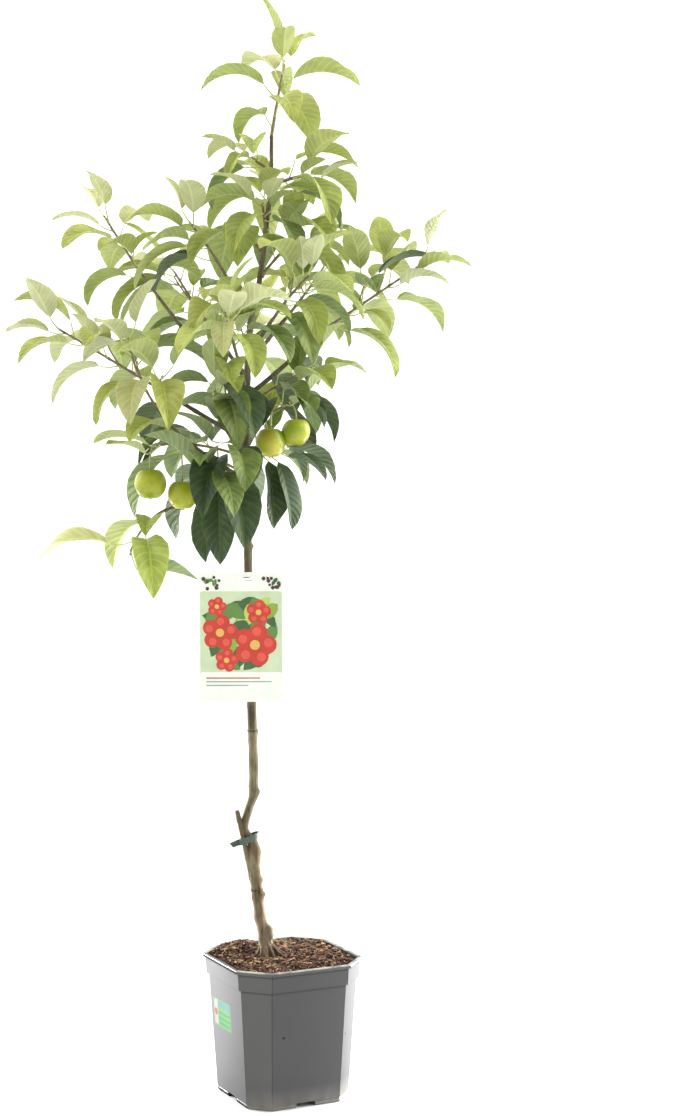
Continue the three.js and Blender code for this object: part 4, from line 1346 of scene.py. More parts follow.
class APPLETREE_OT_apples(bpy.types.Operator):
    """Unripe apples with stalk cavity, dried flower end and stalk"""

    bl_idname = "apple_tree.apples"
    bl_label = "Apples"

    def execute(self, context):
        colours = context.scene.apple_tree_colours
        flesh, stalks = Shape(), Shape()
        for number, apple in enumerate(all_fruit(crown()["masses"])):
            self.body(flesh, apple, number)
            self.stalk(stalks, apple)
        skin = Finish("apple_skin", colours.apple, 0.36, gloss=0.45, **{"Coat Weight": 0.12})
        blush = skin.grain(32, 2)
        pores = skin.spots(skin.place(), 330, 0.13)
        deep = tuple(c * k for c, k in zip(colours.apple, (0.66, 0.82, 0.75)))
        base = skin.ramp(blush, (0.34, deep), (0.6, colours.apple))
        warm = skin.grain(21, 1)
        base = skin.mix(skin.steps(warm, (0.54, 0), (0.72, 0.5)), base, tone("a8842c"))
        base = skin.mix(skin.times(pores, 0.4), base, tone("dfe0a0"))
        skin.colour(base).bump(skin.grain(700, 2), 0.00006, 0.4)
        dry = plain_finish("dried_calyx", tone("5b4a30"), 0.9, 900, 0.0003, 0.3)
        wood = plain_finish("fruit_stalk", tone("8c9354"), 0.6, 500, 0.0002, 0.25)
        flesh.build("apples", [skin.material, dry], list(FRUIT), "foliage")
        stalks.build("apple_stalks", [wood], slot="bark")
        return {"FINISHED"}

    def body(self, shape, apple, number):
        """A lathed apple: hollow at the stalk, lobed at the dried flower end, a little uneven."""
        radius, c, rows, sides = apple["radius"], apple["centre"], APPLE["rows"], APPLE["sides"]
        (rim, rim_wide, floor), (end, end_wide, end_floor) = APPLE["stalk_hollow"], APPLE["flower_hollow"]
        (most, less), (lobes, lobed), (leans, leans_up) = APPLE["wide"], APPLE["lobes"], APPLE["lean"]
        lean = ripple(number * 1.7, 0.4, 0.2) * leans
        points = [c + UP * radius * (APPLE["tall"] - floor)]
        for i in range(1, rows):
            t = i / rows
            wide = sin(pi * t) ** APPLE["full"] * (most - less * t)
            tall = cos(pi * t) * APPLE_TALL * APPLE_SQUAT
            tall -= rim * hump(t, 0, rim_wide)
            tall += end * hump(1 - t, 0, end_wide)
            for a in circle(sides):
                lobe = 1 + lobed * t * t * cos(lobes * a + number)
                lobe += APPLE["oval"] * cos(2 * a + number * 2)
                reach = radius * wide * lobe
                x, y, z = reach * cos(a), reach * sin(a), radius * tall
                points.append(c + np.array((x + lean * z * leans_up, y, z)))
        points.append(c - UP * radius * (APPLE["tall"] - end_floor))
        last = len(points) - 1
        faces = [(0, 1 + k, 1 + (k + 1) % sides) for k in range(sides)]
        for i in range(rows - 2):
            for k in range(sides):
                a, b = 1 + i * sides + k, 1 + i * sides + (k + 1) % sides
                faces.append((a, a + sides, b + sides, b))
        foot = 1 + (rows - 2) * sides
        faces += [(foot + (k + 1) % sides, foot + k, last) for k in range(sides)]
        shape.add(points, faces)
        for turn in circle(CALYX["lobes"]):
            out = np.array((cos(turn + number), sin(turn + number), 0.0))
            root = c - UP * radius * (APPLE["tall"] - CALYX["deep"]) + out * CALYX["out"]
            line = [root + out * beyond - UP * down for beyond, down, _ in CALYX["rings"]]
            shape.tube(line, [thick for _, _, thick in CALYX["rings"]], CALYX["sides"], 1)

    def stalk(self, shape, apple):
        """A stalk that leaves the twig level and bows down into the fruit."""
        top = apple["centre"] + UP * apple["radius"] * FRUIT_STALK["in"]
        point, out = apple["point"], apple["out"]
        shoulder = point + (out - point) * FRUIT_STALK["shoulder"]
        middle = (shoulder + top) / 2 + (out - shoulder) * FRUIT_STALK["bow"]
        line = smooth_path([point, shoulder, middle, top], FRUIT_STALK["step"])
        last = len(line) - 1
        thin, more = FRUIT_STALK["radius"]
        radii = [thin + more * abs(2 * i / last - 1) ** 4 for i in range(last + 1)]
        shape.tube(line, radii, FRUIT_STALK["sides"])


# ---- pot and soil


def corner_of(x, y, width, cut):
    """The corner of a square with cut corners that lies the same way as a point."""
    half = width / 2
    near = half - cut / sqrt(2)
    sx, sy = (1 if x > 0 else -1), (1 if y > 0 else -1)
    return (sx * half, sy * near) if abs(x) > abs(y) else (sx * near, sy * half)


def start_piece(add, name, **given):
    """Adds a primitive, selected alone, and names it."""
    bpy.ops.object.select_all(action="DESELECT")
    add(**given)
    piece = bpy.context.object
    piece.name = piece.data.name = name
    return piece


def select_points():
    edit.select_all(action="SELECT")


def use_modifier(piece, kind, **given):
    modifier = piece.modifiers.new(kind.lower(), kind)
    for key, value in given.items():
        setattr(modifier, key, value)
    bpy.ops.object.modifier_apply(modifier=modifier.name)


def bake_place(piece, turn):
    """Turns a piece about the pot's axis, brings it to metres and leaves its object at the origin."""
    piece.rotation_euler = (0, 0, radians(turn))
    piece.scale = (MM, MM, MM)
    apply_place()


# Heights on the pot, in metres, over which its look changes
POT_BANDS = {"toward_foot": (0.0, 0.03), "hem": (0.0042, 0.0052), "flange": (0.1876, 0.1882)}
POT_BANDS |= {"top": (0.1914, 0.1918), "lip": (0.1914, 0.1924)}
# Painted shadow under the ledge and under the flange: the height where it fades out below, and the ledge's
# height
LEDGES = ((0.1604, 0.1646), (0.1838, 0.1876))
POT_GLOSS = 0.35
# The pot's edges: what its ramps take as one, aside and up, in metres; then the ramps, the first for the
# painted shade down each edge
EDGES = {"ranges": (0.1, 0.2), "line": ((0.003, 1), (0.014, 0))}
EDGES |= {"face": ((0, 0), (0.006, 1)), "half": ((0, 0), (0.01, 1))}
POT_BEVEL = {"width": 0.7, "sharp": 25, "smooth": 22}


class APPLETREE_OT_pot(bpy.types.Operator):
    """Square pot with cut corners, a stepped rim, feet and drain holes"""

    bl_idname = "apple_tree.pot"
    bl_label = "Pot"

    def execute(self, context):
        colours = context.scene.apple_tree_colours
        pot = start_piece(edit.primitive_plane_add, "nursery_pot", size=POT["rows"][0][1])
        bpy.ops.object.mode_set(mode="EDIT")
        select_points()
        edit.bevel(offset=POT["rows"][0][2] / 2, segments=1, affect="VERTICES")
        self.lay(pot, *POT["rows"][0])
        for row in POT["rows"][1:]:
            edit.extrude_region_move(TRANSFORM_OT_translate={"value": (0, 0, 1)})
            self.lay(pot, *row)
        for row in self.inside():
            edit.extrude_region_move(TRANSFORM_OT_translate={"value": (0, 0, -0.1)})
            self.lay(pot, *row)
        select_points()
        edit.normals_make_consistent(inside=False)
        bpy.ops.object.mode_set(mode="OBJECT")
        for cutter in (self.notches(), self.drains()):
            bpy.context.view_layer.objects.active = pot
            use_modifier(pot, "BOOLEAN", object=cutter, operation="DIFFERENCE", solver="EXACT")
            bpy.data.objects.remove(cutter)
        edges = {"limit_method": "ANGLE", "angle_limit": radians(POT_BEVEL["sharp"])}
        use_modifier(pot, "BEVEL", width=POT_BEVEL["width"], segments=2, use_clamp_overlap=True, **edges)
        pot.select_set(True)
        bake_place(pot, POT["turn"])
        crease(POT_BEVEL["smooth"])
        pot.data.materials.clear()
        pot.data.materials.append(self.plastic(colours))
        settle(pot, ["pot"], "pot_plastic")
        return {"FINISHED"}

    def lay(self, piece, z, width, cut):
        """Lays the selected face's corners on the octagon at a height."""
        mesh = bmesh.from_edit_mesh(piece.data)
        for corner in mesh.verts:
            if corner.select:
                x, y = corner_of(corner.co.x, corner.co.y, width, cut)
                corner.co = (x, y, z)
        bmesh.update_edit_mesh(piece.data)

    def inside(self):
        """The inner wall's rows, from the mouth to the floor."""
        wall = POT["wall"]
        foot, ledge, band, neck = POT["rows"][POT["foot"] : POT["foot"] + 4]
        heights = (POT["rows"][-1][0], band[0] + wall, ledge[0] + wall, POT["floor"])
        for z, (_, width, cut) in zip(heights, (neck, band, ledge, foot)):
            yield z, width - 2 * wall, cut - 2 * wall * (sqrt(2) - 1)

    def notches(self):
        """Four bars that each cut a notch under the middle of a wall."""
        width, depth, height = POT["notch"]
        reach, below, made = POT["rows"][0][1] / 2, 1, []
        for side in range(4):
            a = radians(90 * side)
            spot = (reach * cos(a), reach * sin(a), (height - below) / 2)
            bar = start_piece(edit.primitive_cube_add, "notch", size=1, location=spot)
            bar.scale = (2 * depth, width, height + below)
            bar.rotation_euler.z = a
            apply_place()
            made.append(bar)
        return self.joined(made)

    def drains(self):
        """Rods that cut the drain holes."""
        radius, out = POT["drain"]
        made = []
        for x in (-out, out):
            for y in (-out, out):
                add = edit.primitive_cylinder_add
                given = {"vertices": 24, "radius": radius, "depth": 3 * POT["floor"]}
                made.append(start_piece(add, "drain", location=(x, y, 0), **given))
        return self.joined(made)

    def joined(self, made):
        pick(*made)
        bpy.ops.object.join()
        apply_place()
        return made[0]

    def plastic(self, colours):
        """Matt grey plastic: painted shade down its edges and under its ledges, painted light on its left cut
        corner, its flange and its foot band, painted shade on the left wall's flange and foot, a worn rim,
        and paler towards its foot.
        """
        finish = Finish("pot_plastic", colours.pot, 0.45, gloss=POT_GLOSS)
        cloud = finish.grain(9, 3)
        rub = finish.noise(finish.place((1, 1, 0.25)), 60, 4)
        fine = finish.grain(900, 2)
        scuffs = finish.grain(70, 4)
        toward_foot, hem, flange, top, lip = (height_share(finish, *band) for band in POT_BANDS.values())
        toward_foot, hem, top = (finish.rest(share) for share in (toward_foot, hem, top))
        # Painted shade down the edges, painted light on the left cut corner, and the whole pot but its left
        # wall
        line, cut_painted_light, off_left_wall = self.corners(finish)
        # Painted light on the flange, broken up by the scuff noise, everywhere but on the left wall
        flange_painted_light = finish.times(flange, finish.steps(scuffs, (0.35, 0.3), (0.7, 0.9)))
        worn = finish.times(lip, finish.steps(scuffs, (0.4, 0.3), (0.6, 1.0)))
        # Painted shade on the left wall's flange and foot band, where the rest of the pot gets painted light
        left_painted_shade = finish.times(finish.rest(off_left_wall), finish.sum("MAXIMUM", finish.times(flange, top), hem))
        # Painted shadow under both ledges
        shadows = [finish.times(shade_under(finish, *ledge), 0.85) for ledge in LEDGES]
        low, high = shades(colours.pot, 0.93, 1.08)
        base = finish.ramp(cloud, (0.3, low), (0.7, high))
        for share, code in (
            # painted light on the left cut corner
            (finish.times(cut_painted_light, 0.7), "4d4d4d"),
            # painted shade down the upright edges
            (finish.times(line, 0.6), "141414"),
            # painted light on the flange
            (finish.times(flange_painted_light, off_left_wall), "494f4e"),
            (finish.times(worn, off_left_wall), "a2a497"),
            *((shadow, "121212") for shadow in shadows),
            # paler towards the foot, in streaks, except on the left wall
            (finish.times(finish.times(finish.times(toward_foot, 0.5), off_left_wall), rub), "a9a394"),
            # painted light on the foot band, except on the left wall
            (finish.times(hem, finish.times(off_left_wall, 0.45)), "77776f"),
            # painted shade on the left wall's flange and foot band
            (finish.times(left_painted_shade, 0.6), "2a2a2a"),
        ):
            base = finish.mix(share, base, tone(code))
        # Less gloss where the painted shade lies on the left wall
        finish.set(finish.shader, "Specular IOR Level", finish.times(finish.rest(left_painted_shade), POT_GLOSS))
        return finish.colour(base).bump(fine, 0.00008, 0.5).bump(rub, 0.0002, 0.25).material

    def corners(self, finish):
        """Masks from the pot's own axes: painted shade in lines down its eight upright edges, painted light
        on the left cut corner, and the whole pot but its left wall, whose flange and foot get painted shade
        where the rest gets painted light."""
        aside, up = EDGES["ranges"]
        x, y, z = finish.axes(finish.place((1 / aside, 1 / aside, 1 / up), -POT["turn"]))
        apart = finish.less(finish.size(x), finish.size(y))
        widths = [(z0 * MM / up, cut / sqrt(2) * MM / aside) for z0, _, cut in POT["rows"]]
        beyond = finish.less(finish.size(apart), finish.steps(z, *widths))
        # Painted shade in a narrow line down each upright edge
        line = finish.steps(finish.size(beyond), *EDGES["line"])
        left = finish.steps(finish.times(x, -1.0), *EDGES["half"])
        on_cut = finish.steps(finish.times(beyond, -1.0), *EDGES["face"])
        on_wall = finish.times(finish.steps(beyond, *EDGES["face"]), left)
        off_left_wall = finish.rest(finish.times(on_wall, finish.steps(apart, *EDGES["half"])))
        # The second mask is painted light on the left cut corner
        return line, finish.times(on_cut, left), off_left_wall


# Moulding marks: wall, place along it, height, radius; then how they rise and narrow
MARKS = ((3, -36, 101, 2.0), (3.5, -12, 94, 1.2))
STUD = ((-0.4, 1), (0.15, 1), (0.3, 0.6))
# The patch: wall, place along it and height; blocks by their corners, colour and rounding; a disc
PATCH = {
    "place": (2, -16, 115),
    "blocks": (
        (-29, -19.5, 29, 19.5, 0, 2.5),
        (-27, -17.5, -15, 17.5, 1, 1.5),
        (-12, 9, 27, 16.5, 2),
        *((-12, -16 + 7.5 * row, 27, -12 + 7.5 * row, 3) for row in range(3)),
    ),
    "disc": (-21, 0, 5, 4),
    "colours": {
        "patch_ground": "556f51", "patch_pale": "7f7d7a", "patch_teal": "416c6c", "patch_green": "31703d",
        "patch_red": "75473a",
    },
    "gloss": 0.05,
}
# The card's print, in millimetres from a spot a little above its middle
CARD = {
    "down": 87,  # from the card's top to that spot
    "corner": 3,
    "seed": 5,
    "ground": (-56, -89.9, 56, 61),
    "foot": (-56, -89.9, 56, -50),
    "leaves": {
        "rows": 9,
        "columns": 7,
        "grid": ((-48, 16, 9), (-44, 12.5, 7)),  # start, step and stray, across and up
        "field": (-55, -49, 55, 60),
    },
    "flowers": ((-29, 4, 26), (24, 32, 18), (19, -13, 31), (-33, 40, 14), (-20, -34, 17)),
    "berries": {"all": 26, "leaves": 14, "field": (-55, 62, 55, 84)},
    "bars": ((74, 8), (90, 11), (58, 11)),  # length and colour
    "bar_place": (-48, -59.5, -57.6, 5),
    "colours": {
        "card_green": "c3d2ae", "card_mint": "e6ece2", "card_leaf_dark": "3f5f38", "card_leaf": "5d8440",
        "card_leaf_light": "86a53e", "card_leaf_pale": "b2c761", "card_petal": "c23a2c",
        "card_petal_light": "d65545", "card_bar": "b5655c", "card_middle": "d9b25a",
        "card_twig": "4a3a30", "card_line": "9aa39a",
    },
}
PROUD = {"first": 0.04, "each": 0.004, "sunk": 0.02}  # how far print stands out of its face


class APPLETREE_OT_fittings(bpy.types.Operator):
    """Moulding marks and the plain colour patch on the pot, the tie, and the card with its strap"""

    bl_idname = "apple_tree.fittings"
    bl_label = "Marks, tie and card"

    def execute(self, context):
        # Near-black: painted shade for the pits that the mould left on the walls
        dark = plain_finish("mould_pit_shade", tone("0c0c0c"), 0.9)
        self.marks(dark)
        self.patch()
        self.card()
        tie = plain_finish("tie_plastic", tone("47544a"), 0.6, 500, 0.0002, 0.35)
        strap = plain_finish("strap_plastic", tone("e9ece4"), 0.4, 400, 0.0001, 0.06)
        for name, material in (("stem_tie", tie), ("card_strap", strap)):
            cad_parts[name].material_slots[0].material = material
        return {"FINISHED"}

    def wall_frame(self, side, aside, z):
        """A spot on a wall of the pot, with the directions along it, up it and out of it."""
        foot, ledge = POT["rows"][POT["foot"]], POT["rows"][POT["foot"] + 1]
        share = (z - foot[0]) / (ledge[0] - foot[0])
        reach = (foot[1] + (ledge[1] - foot[1]) * share) / 2
        if side % 1:
            reach = (2 * reach - (foot[2] + (ledge[2] - foot[2]) * share) / sqrt(2)) / sqrt(2)
        slope = atan((ledge[1] - foot[1]) / 2 / (ledge[0] - foot[0]))
        level = heading(POT["turn"] + 90 * side, 0)
        sideways = np.cross(UP, level)
        up = UP * cos(slope) + level * sin(slope)
        out = level * cos(slope) - UP * sin(slope)
        return level * reach + sideways * aside + UP * z, sideways, up, out

    def marks(self, dark):
        """Small round studs where the mould left pits on the walls, painted near-black as the painted shade
        of those pits.
        """
        shape = Shape()
        for side, aside, z, radius in MARKS:
            spot, _, _, out = self.wall_frame(side, aside, z)
            line = [spot + out * rise for rise, _ in STUD]
            shape.tube(line, [radius * share for _, share in STUD], 12)
        shape.build("mould_marks", [dark], slot="pot_plastic")

    def patch(self):
        """A stuck-on patch of plain colours: a pale ground with bands and a disc."""
        patch = Print(*self.wall_frame(*PATCH["place"]))
        for block in PATCH["blocks"]:
            patch.block(*block)
        patch.disc(*PATCH["disc"])
        patch.build("pot_patch", PATCH["colours"], "pot_plastic", PATCH["gloss"])

    def card(self):
        """The card with a plain printed pattern: leaves and five-petalled flowers between pale bands."""
        low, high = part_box("hanging_card")
        centre = np.array(((low.x + high.x) / 2, low.y, high.z)) / MM - UP * CARD["down"]
        white = plain_finish("card_plastic", tone("eef1ea"), 0.35, 500, 0.0001, 0.03)
        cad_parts["hanging_card"].material_slots[0].material = white
        sheet = Print(centre, np.array((1.0, 0, 0)), UP, np.array((0, -1.0, 0)))
        sheet.block(*CARD["ground"], 0, CARD["corner"])
        roll = dice(CARD["seed"])
        leaves = CARD["leaves"]
        for row in range(leaves["rows"]):
            for column in range(leaves["columns"]):
                x, z = (
                    start + step * place + stray * (roll() - 0.5)
                    for place, (start, step, stray) in zip((column, row), leaves["grid"])
                )
                turn, size, kind = 360 * roll(), 24 + 20 * roll(), 2 + int(5 * roll()) % 5
                if sheet.holds(x, z, size, turn, *leaves["field"]):
                    sheet.leaf(x, z, size, turn, 2 if kind == 6 else kind)
        for x, z, size in CARD["flowers"]:
            sheet.flower(x, z, size, 30 * roll())
        sheet.block(*CARD["foot"], 1, CARD["corner"])
        berries = CARD["berries"]
        for number in range(berries["all"]):
            side = -1 if number % 2 else 1
            x, z = side * (30 + 24 * roll()), 64 + 17 * roll()
            size, turn = 6 + 5 * roll(), 360 * roll()
            if number < berries["leaves"] and sheet.holds(x, z, size, turn, *berries["field"]):
                sheet.leaf(x, z, size, turn, 2 + number % 2)
            else:
                sheet.disc(x, z, 1.6 + 1.4 * roll(), 10, 8)
        for row, (wide, kind) in enumerate(CARD["bars"]):
            left, foot, top, apart = CARD["bar_place"]
            sheet.block(left, foot - apart * row, left + wide, top - apart * row, kind)
        sheet.build("card_print", CARD["colours"], "card_plastic")


class Print:
    """Thin flat shapes laid on a face, each a little proud of the one before."""

    def __init__(self, spot, sideways, up, out):
        self.spot, self.sideways, self.up, self.out = spot, sideways, up, out
        self.shape, self.lift = Shape(), PROUD["first"]

    def lay(self, outline_points, kind):
        """One flat shape, given by its corners counter-clockwise."""
        self.lift += PROUD["each"]
        count = len(outline_points)
        points = []
        for rise in (-PROUD["sunk"], self.lift):
            for x, z in outline_points:
                points.append(self.spot + self.sideways * x + self.up * z + self.out * rise)
        faces = [tuple(range(count, 2 * count)), tuple(range(count - 1, -1, -1))]
        faces += [(k, (k + 1) % count, count + (k + 1) % count, count + k) for k in range(count)]
        self.shape.add(points, faces, kind)

    def block(self, x0, z0, x1, z1, kind, corner=0.6):
        spots = []
        for cx, cz, start in ((x1, z0, -90), (x1, z1, 0), (x0, z1, 90), (x0, z0, 180)):
            for step in range(4):
                a = radians(start + 30 * step)
                x = cx - copysign(corner, cx - (x0 + x1) / 2)
                z = cz - copysign(corner, cz - (z0 + z1) / 2)
                spots.append((x + corner * cos(a), z + corner * sin(a)))
        self.lay(spots, kind)

    def disc(self, x, z, radius, kind, sides=24):
        self.lay([(x + radius * cos(a), z + radius * sin(a)) for a in circle(sides)], kind)

    def edge(self, x, z, size, turn):
        """A leaf's outline from its foot at a spot."""
        c, s = cos(radians(turn)), sin(radians(turn))
        edge = [(size * t, -0.3 * size * outline(t)) for t in (0, 0.15, 0.35, 0.55, 0.8, 1)]
        edge += [(size * t, 0.3 * size * outline(t)) for t in (0.8, 0.55, 0.35, 0.15)]
        return [(x + u * c - v * s, z + u * s + v * c) for u, v in edge]

    def holds(self, x, z, size, turn, x0, z0, x1, z1):
        """Whether a leaf stays within a field."""
        return all(x0 < u < x1 and z0 < v < z1 for u, v in self.edge(x, z, size, turn))

    def leaf(self, x, z, size, turn, kind):
        self.lay(self.edge(x, z, size, turn), kind)

    def flower(self, x, z, size, turn):
        """Five petals, a lighter spot on each and a middle."""
        for away, radius, kind, sides, ahead in ((0.55, 0.42, 6, 16, 0), (0.6, 0.2, 7, 12, 8)):
            for petal in range(5):
                a = radians(turn + 72 * petal + ahead)
                u, v = (away * size * part for part in (cos(a), sin(a)))
                self.disc(x + u, z + v, radius * size, kind, sides)
        self.disc(x, z, 0.22 * size, 9, 16)

    def build(self, name, colours, slot, gloss=0.5):
        finishes = [
            plain_finish(ink, tone(code), 0.4, 300, 0.00005, 0.07, gloss=gloss)
            for ink, code in colours.items()
        ]
        return self.shape.build(name, finishes, slot=slot, smooth=False)


# The soil's surface: lumps and crumbs by spread and height, a heap by its middle and spread, the dip at
# the walls, and how much higher it lies at the back
SOIL = {
    "sunk": 0.6,
    "lumps": (0.045, 0.3, 2.0),
    "crumbs": (0.16, 4.1, 1.6), "grit": (0.6, 7.7, 0.7), "heap": (-34, 34, 70, 26, 7), "dip": (91, 2, 6),
    "back": (0.42, 0.91, 40, 2.2), "rows": 110,
    "deep": 17,  # how far the bed reaches down, and how much it narrows there
    "narrow": 0.93,
    "usual_lumps": 5,
}
CHIPS = {"seed": 21, "gap": 5, "length": (1.4, 4.4, 1.8), "rise": (0.6, 1.2), "tip": 50, "roll": 0.9}
CHIPS |= {"wide": (0.28, 0.22), "thick": (0.3, 0.4), "bend": 0.12}
CHIPS |= {"corners": ((-1, -0.6), (0.1, -1), (1, -0.3), (0.8, 0.7), (-0.4, 1))}
FIBRES = {"count": 110, "seed": 33, "gap": 16, "length": (7, 14), "bend": 90, "points": 5, "near_wall": 4}
FIBRES |= {"rise": (1.8, 1.2, 0.8), "radius": (0.34, 0.12)}
# A fine root beside the trunk: the height where it starts, its points from there, its radius
FINE_ROOT = (223, ((8, -2, 0), (15, -3, -4), (22, -3, -8), (28, -4, -12), (32, -4, -17)), 0.5)


def soil_height(x, y):
    """Height of the soil in the pot's own frame: lumpy, heaped at the back and round the trunk."""
    layers = (SOIL["lumps"], SOIL["crumbs"])
    lumps, crumbs = (high * ripple(x * spread, y * spread, place) for spread, place, high in layers)
    x0, wide, y0, deep, high = SOIL["heap"]
    heap = high * exp(-(((x - x0) / wide) ** 2) - ((y - y0) / deep) ** 2)
    reach, dip, steep = SOIL["dip"]
    edge = dip * (max(abs(x), abs(y)) / reach) ** steep
    east, north, soft, rise = SOIL["back"]
    back = 0.5 + 0.5 * tanh((east * x + north * y) / soft)
    return SOIL_TOP - SOIL["sunk"] + lumps + crumbs + heap - edge + rise * back


class APPLETREE_OT_soil(bpy.types.Operator):
    """Bark mix in the pot: a lumpy surface, loose chips and fibres"""

    bl_idname = "apple_tree.soil"
    bl_label = "Soil"

    def execute(self, context):
        sizes, colours = context.scene.apple_tree_sizes, context.scene.apple_tree_colours
        _, width, cut = POT["rows"][POT["foot"] + 3]
        inset = POT["wall"] + 0.2
        self.width, self.cut = width - 2 * inset, cut - 2 * inset * (sqrt(2) - 1)
        self.bed(sizes, colours)
        self.chips(sizes.chips)
        self.fibres()
        return {"FINISHED"}

    def walls(self):
        """Each side of the octagon: how far out it lies and its heading."""
        slant = (self.width - self.cut / sqrt(2)) / sqrt(2)
        for side in range(8):
            a = radians(45 * side)
            yield (self.width / 2 if side % 2 == 0 else slant), cos(a), sin(a)

    def bed(self, sizes, colours):
        """A grid cut to the pot's inside, closed below and then raised to the soil's surface."""
        add = edit.primitive_grid_add
        rows = {"x_subdivisions": SOIL["rows"], "y_subdivisions": SOIL["rows"]}
        bed = start_piece(add, "soil_bed", size=self.width + 2, **rows)
        bpy.ops.object.mode_set(mode="EDIT")
        for out, c, s in self.walls():
            select_points()
            edit.bisect(plane_co=(out * c, out * s, 0), plane_no=(c, s, 0), clear_outer=True)
        select_points()
        edit.region_to_loop()
        edit.extrude_region_move(TRANSFORM_OT_translate={"value": (0, 0, -40)})
        edit.edge_face_add()
        select_points()
        edit.normals_make_consistent(inside=False)
        bpy.ops.object.mode_set(mode="OBJECT")
        lumps = sizes.soil_lumps / MM / SOIL["usual_lumps"]
        spread, place, high = SOIL["grit"]
        for point in bed.data.vertices:
            x, y, z = point.co
            if z > -1:
                grit = high * ripple(x * spread, y * spread, place)
                point.co.z = SOIL_TOP + (soil_height(x, y) - SOIL_TOP) * lumps + grit
            else:
                point.co = (x * SOIL["narrow"], y * SOIL["narrow"], SOIL_TOP - SOIL["deep"])
        bed.select_set(True)
        bake_place(bed, POT["turn"])
        bpy.ops.object.shade_smooth()
        bed.data.materials.append(self.mix(colours))
        settle(bed, ["soil"], "bark_mix")

    def mix(self, colours):
        finish = Finish("bark_mix", colours.soil, 0.95, gloss=0.15)
        crumbs = finish.grain(210, 5, 0.7)
        patch = finish.grain(40, 3)
        dark, red = shades(colours.soil, 0.45, 1.0)
        base = finish.ramp(crumbs, (0.36, dark), (0.5, red), (0.66, tone("5d4131")))
        base = finish.mix(finish.steps(patch, (0.5, 0), (0.7, 0.5)), base, tone("463226"))
        return finish.colour(base).bump(crumbs, 0.003, 0.9).material

    def inside(self, x, y, gap):
        """Whether a spot is further than a gap from every wall."""
        return all(x * c + y * s < out - gap for out, c, s in self.walls())

    def scatter(self, count, seed, gap):
        """Spots on the soil in the pot's own frame, with dice for each."""
        roll = dice(seed)
        made = 0
        while made < count:
            x, y = ((roll() - 0.5) * self.width for _ in range(2))
            if self.inside(x, y, gap):
                made += 1
                yield x, y, roll

    def turned(self, x, y, z):
        """A point of the pot's own frame, turned as the pot stands."""
        a = radians(POT["turn"])
        return np.array((x * cos(a) - y * sin(a), x * sin(a) + y * cos(a), z))

    def chips(self, count):
        """Flat splinters of bark, tipped every way."""
        shape = Shape()
        for x, y, roll in self.scatter(count, CHIPS["seed"], CHIPS["gap"]):
            least, more, power = CHIPS["length"]
            length = least + more * roll() ** power
            least, more = CHIPS["rise"]
            spot = self.turned(x, y, soil_height(x, y) + least + more * roll())
            ahead = heading(360 * roll(), CHIPS["tip"] * (roll() - 0.5))
            level = unit(np.cross(UP, ahead) + UP * CHIPS["roll"] * (roll() - 0.5))
            up = np.cross(ahead, level)
            wide, thick = (least + more * roll() for least, more in (CHIPS["wide"], CHIPS["thick"]))
            points = []
            for rise in (-thick, thick):
                for u, v in CHIPS["corners"]:
                    bent = rise + CHIPS["bend"] * length * (0.5 - u * u)
                    points.append(spot + ahead * (length * u) + level * (length * wide * v) + up * bent)
            faces = [(5, 6, 7, 8, 9), (4, 3, 2, 1, 0)]
            faces += [(k, (k + 1) % 5, 5 + (k + 1) % 5, 5 + k) for k in range(5)]
            shape.add(points, faces, int(6 * roll()) % 6)
        codes = ("1c110d", "40251d", "5b3b2c", "6f4c36", "472c21", "a58562")
        kinds = [f"bark_chip_{i + 1}" for i in range(6)]
        finishes = [plain_finish(k, tone(c), 0.9, 700, 0.0004, 0.35) for k, c in zip(kinds, codes)]
        shape.build("bark_chips", finishes, slot="bark_mix", smooth=False)

    def fibres(self):
        """Thin pale fibres on the soil, and a fine root that stands out beside the trunk."""
        shape = Shape()
        (low, high, quick), (thick, tip) = FIBRES["rise"], FIBRES["radius"]
        turns = FIBRES["points"] - 1
        for x, y, roll in self.scatter(FIBRES["count"], FIBRES["seed"], FIBRES["gap"]):
            least, more = FIBRES["length"]
            length = least + more * roll()
            way, bend = 360 * roll(), FIBRES["bend"] * (roll() - 0.5)
            line, spot = [], np.array((x, y))
            for step in range(FIBRES["points"]):
                if self.inside(*spot, FIBRES["near_wall"]):
                    rise = soil_height(*spot) + low + high * sin(step * quick)
                    line.append(self.turned(*spot, rise))
                a = radians(way + bend * step / turns)
                spot = spot + np.array((cos(a), sin(a))) * length / turns
            if len(line) > 2:
                shape.tube(line, [thick] * (len(line) - 1) + [tip], 4)
        height, points, radius = FINE_ROOT
        line = smooth_path([trunk_at(height)[0] + np.array(point) for point in points], 3.0)
        shape.tube(line, [radius] * len(line), 5)
        pale = plain_finish("pale_fibre", tone("a2865e"), 0.8, 600, 0.0002, 0.3)
        shape.build("soil_fibres", [pale], slot="bark_mix")


# ---- stage

# Brightness of the white room behind the viewer and behind the tree, and how much the sides add
SKY = {"front": 0.34, "back": 1.55, "right": 3.4, "left": 2.5, "colour": (1.0, 1.0, 0.985, 1.0)}
# Lamps: place, what they look at, width and height, power, spread in degrees
LAMPS = {
    "right_panel": ((2.4, 0.2, 1.4), (0, 0, 0.7), 1.2, 2.2, 30, 180),
    "low_right_panel": ((1.2, 0.6, 0.14), (0, 0, 0.1), 0.4, 0.24, 14, 70),
    "low_left_panel": ((-1.1, 0.75, 0.14), (0, 0, 0.1), 0.4, 0.24, 10, 70),
    "top_panel": ((-0.4, -0.3, 3.4), (0, 0, 0.9), 1.4, 1.4, 22, 180),
}
FLOOR_RADIUS = 14
CAMERA = {"lens": 70.84, "far": 60, "place": (-0.001, -3.0, 0.921), "tilt": 86.59, "turn": -1.54}


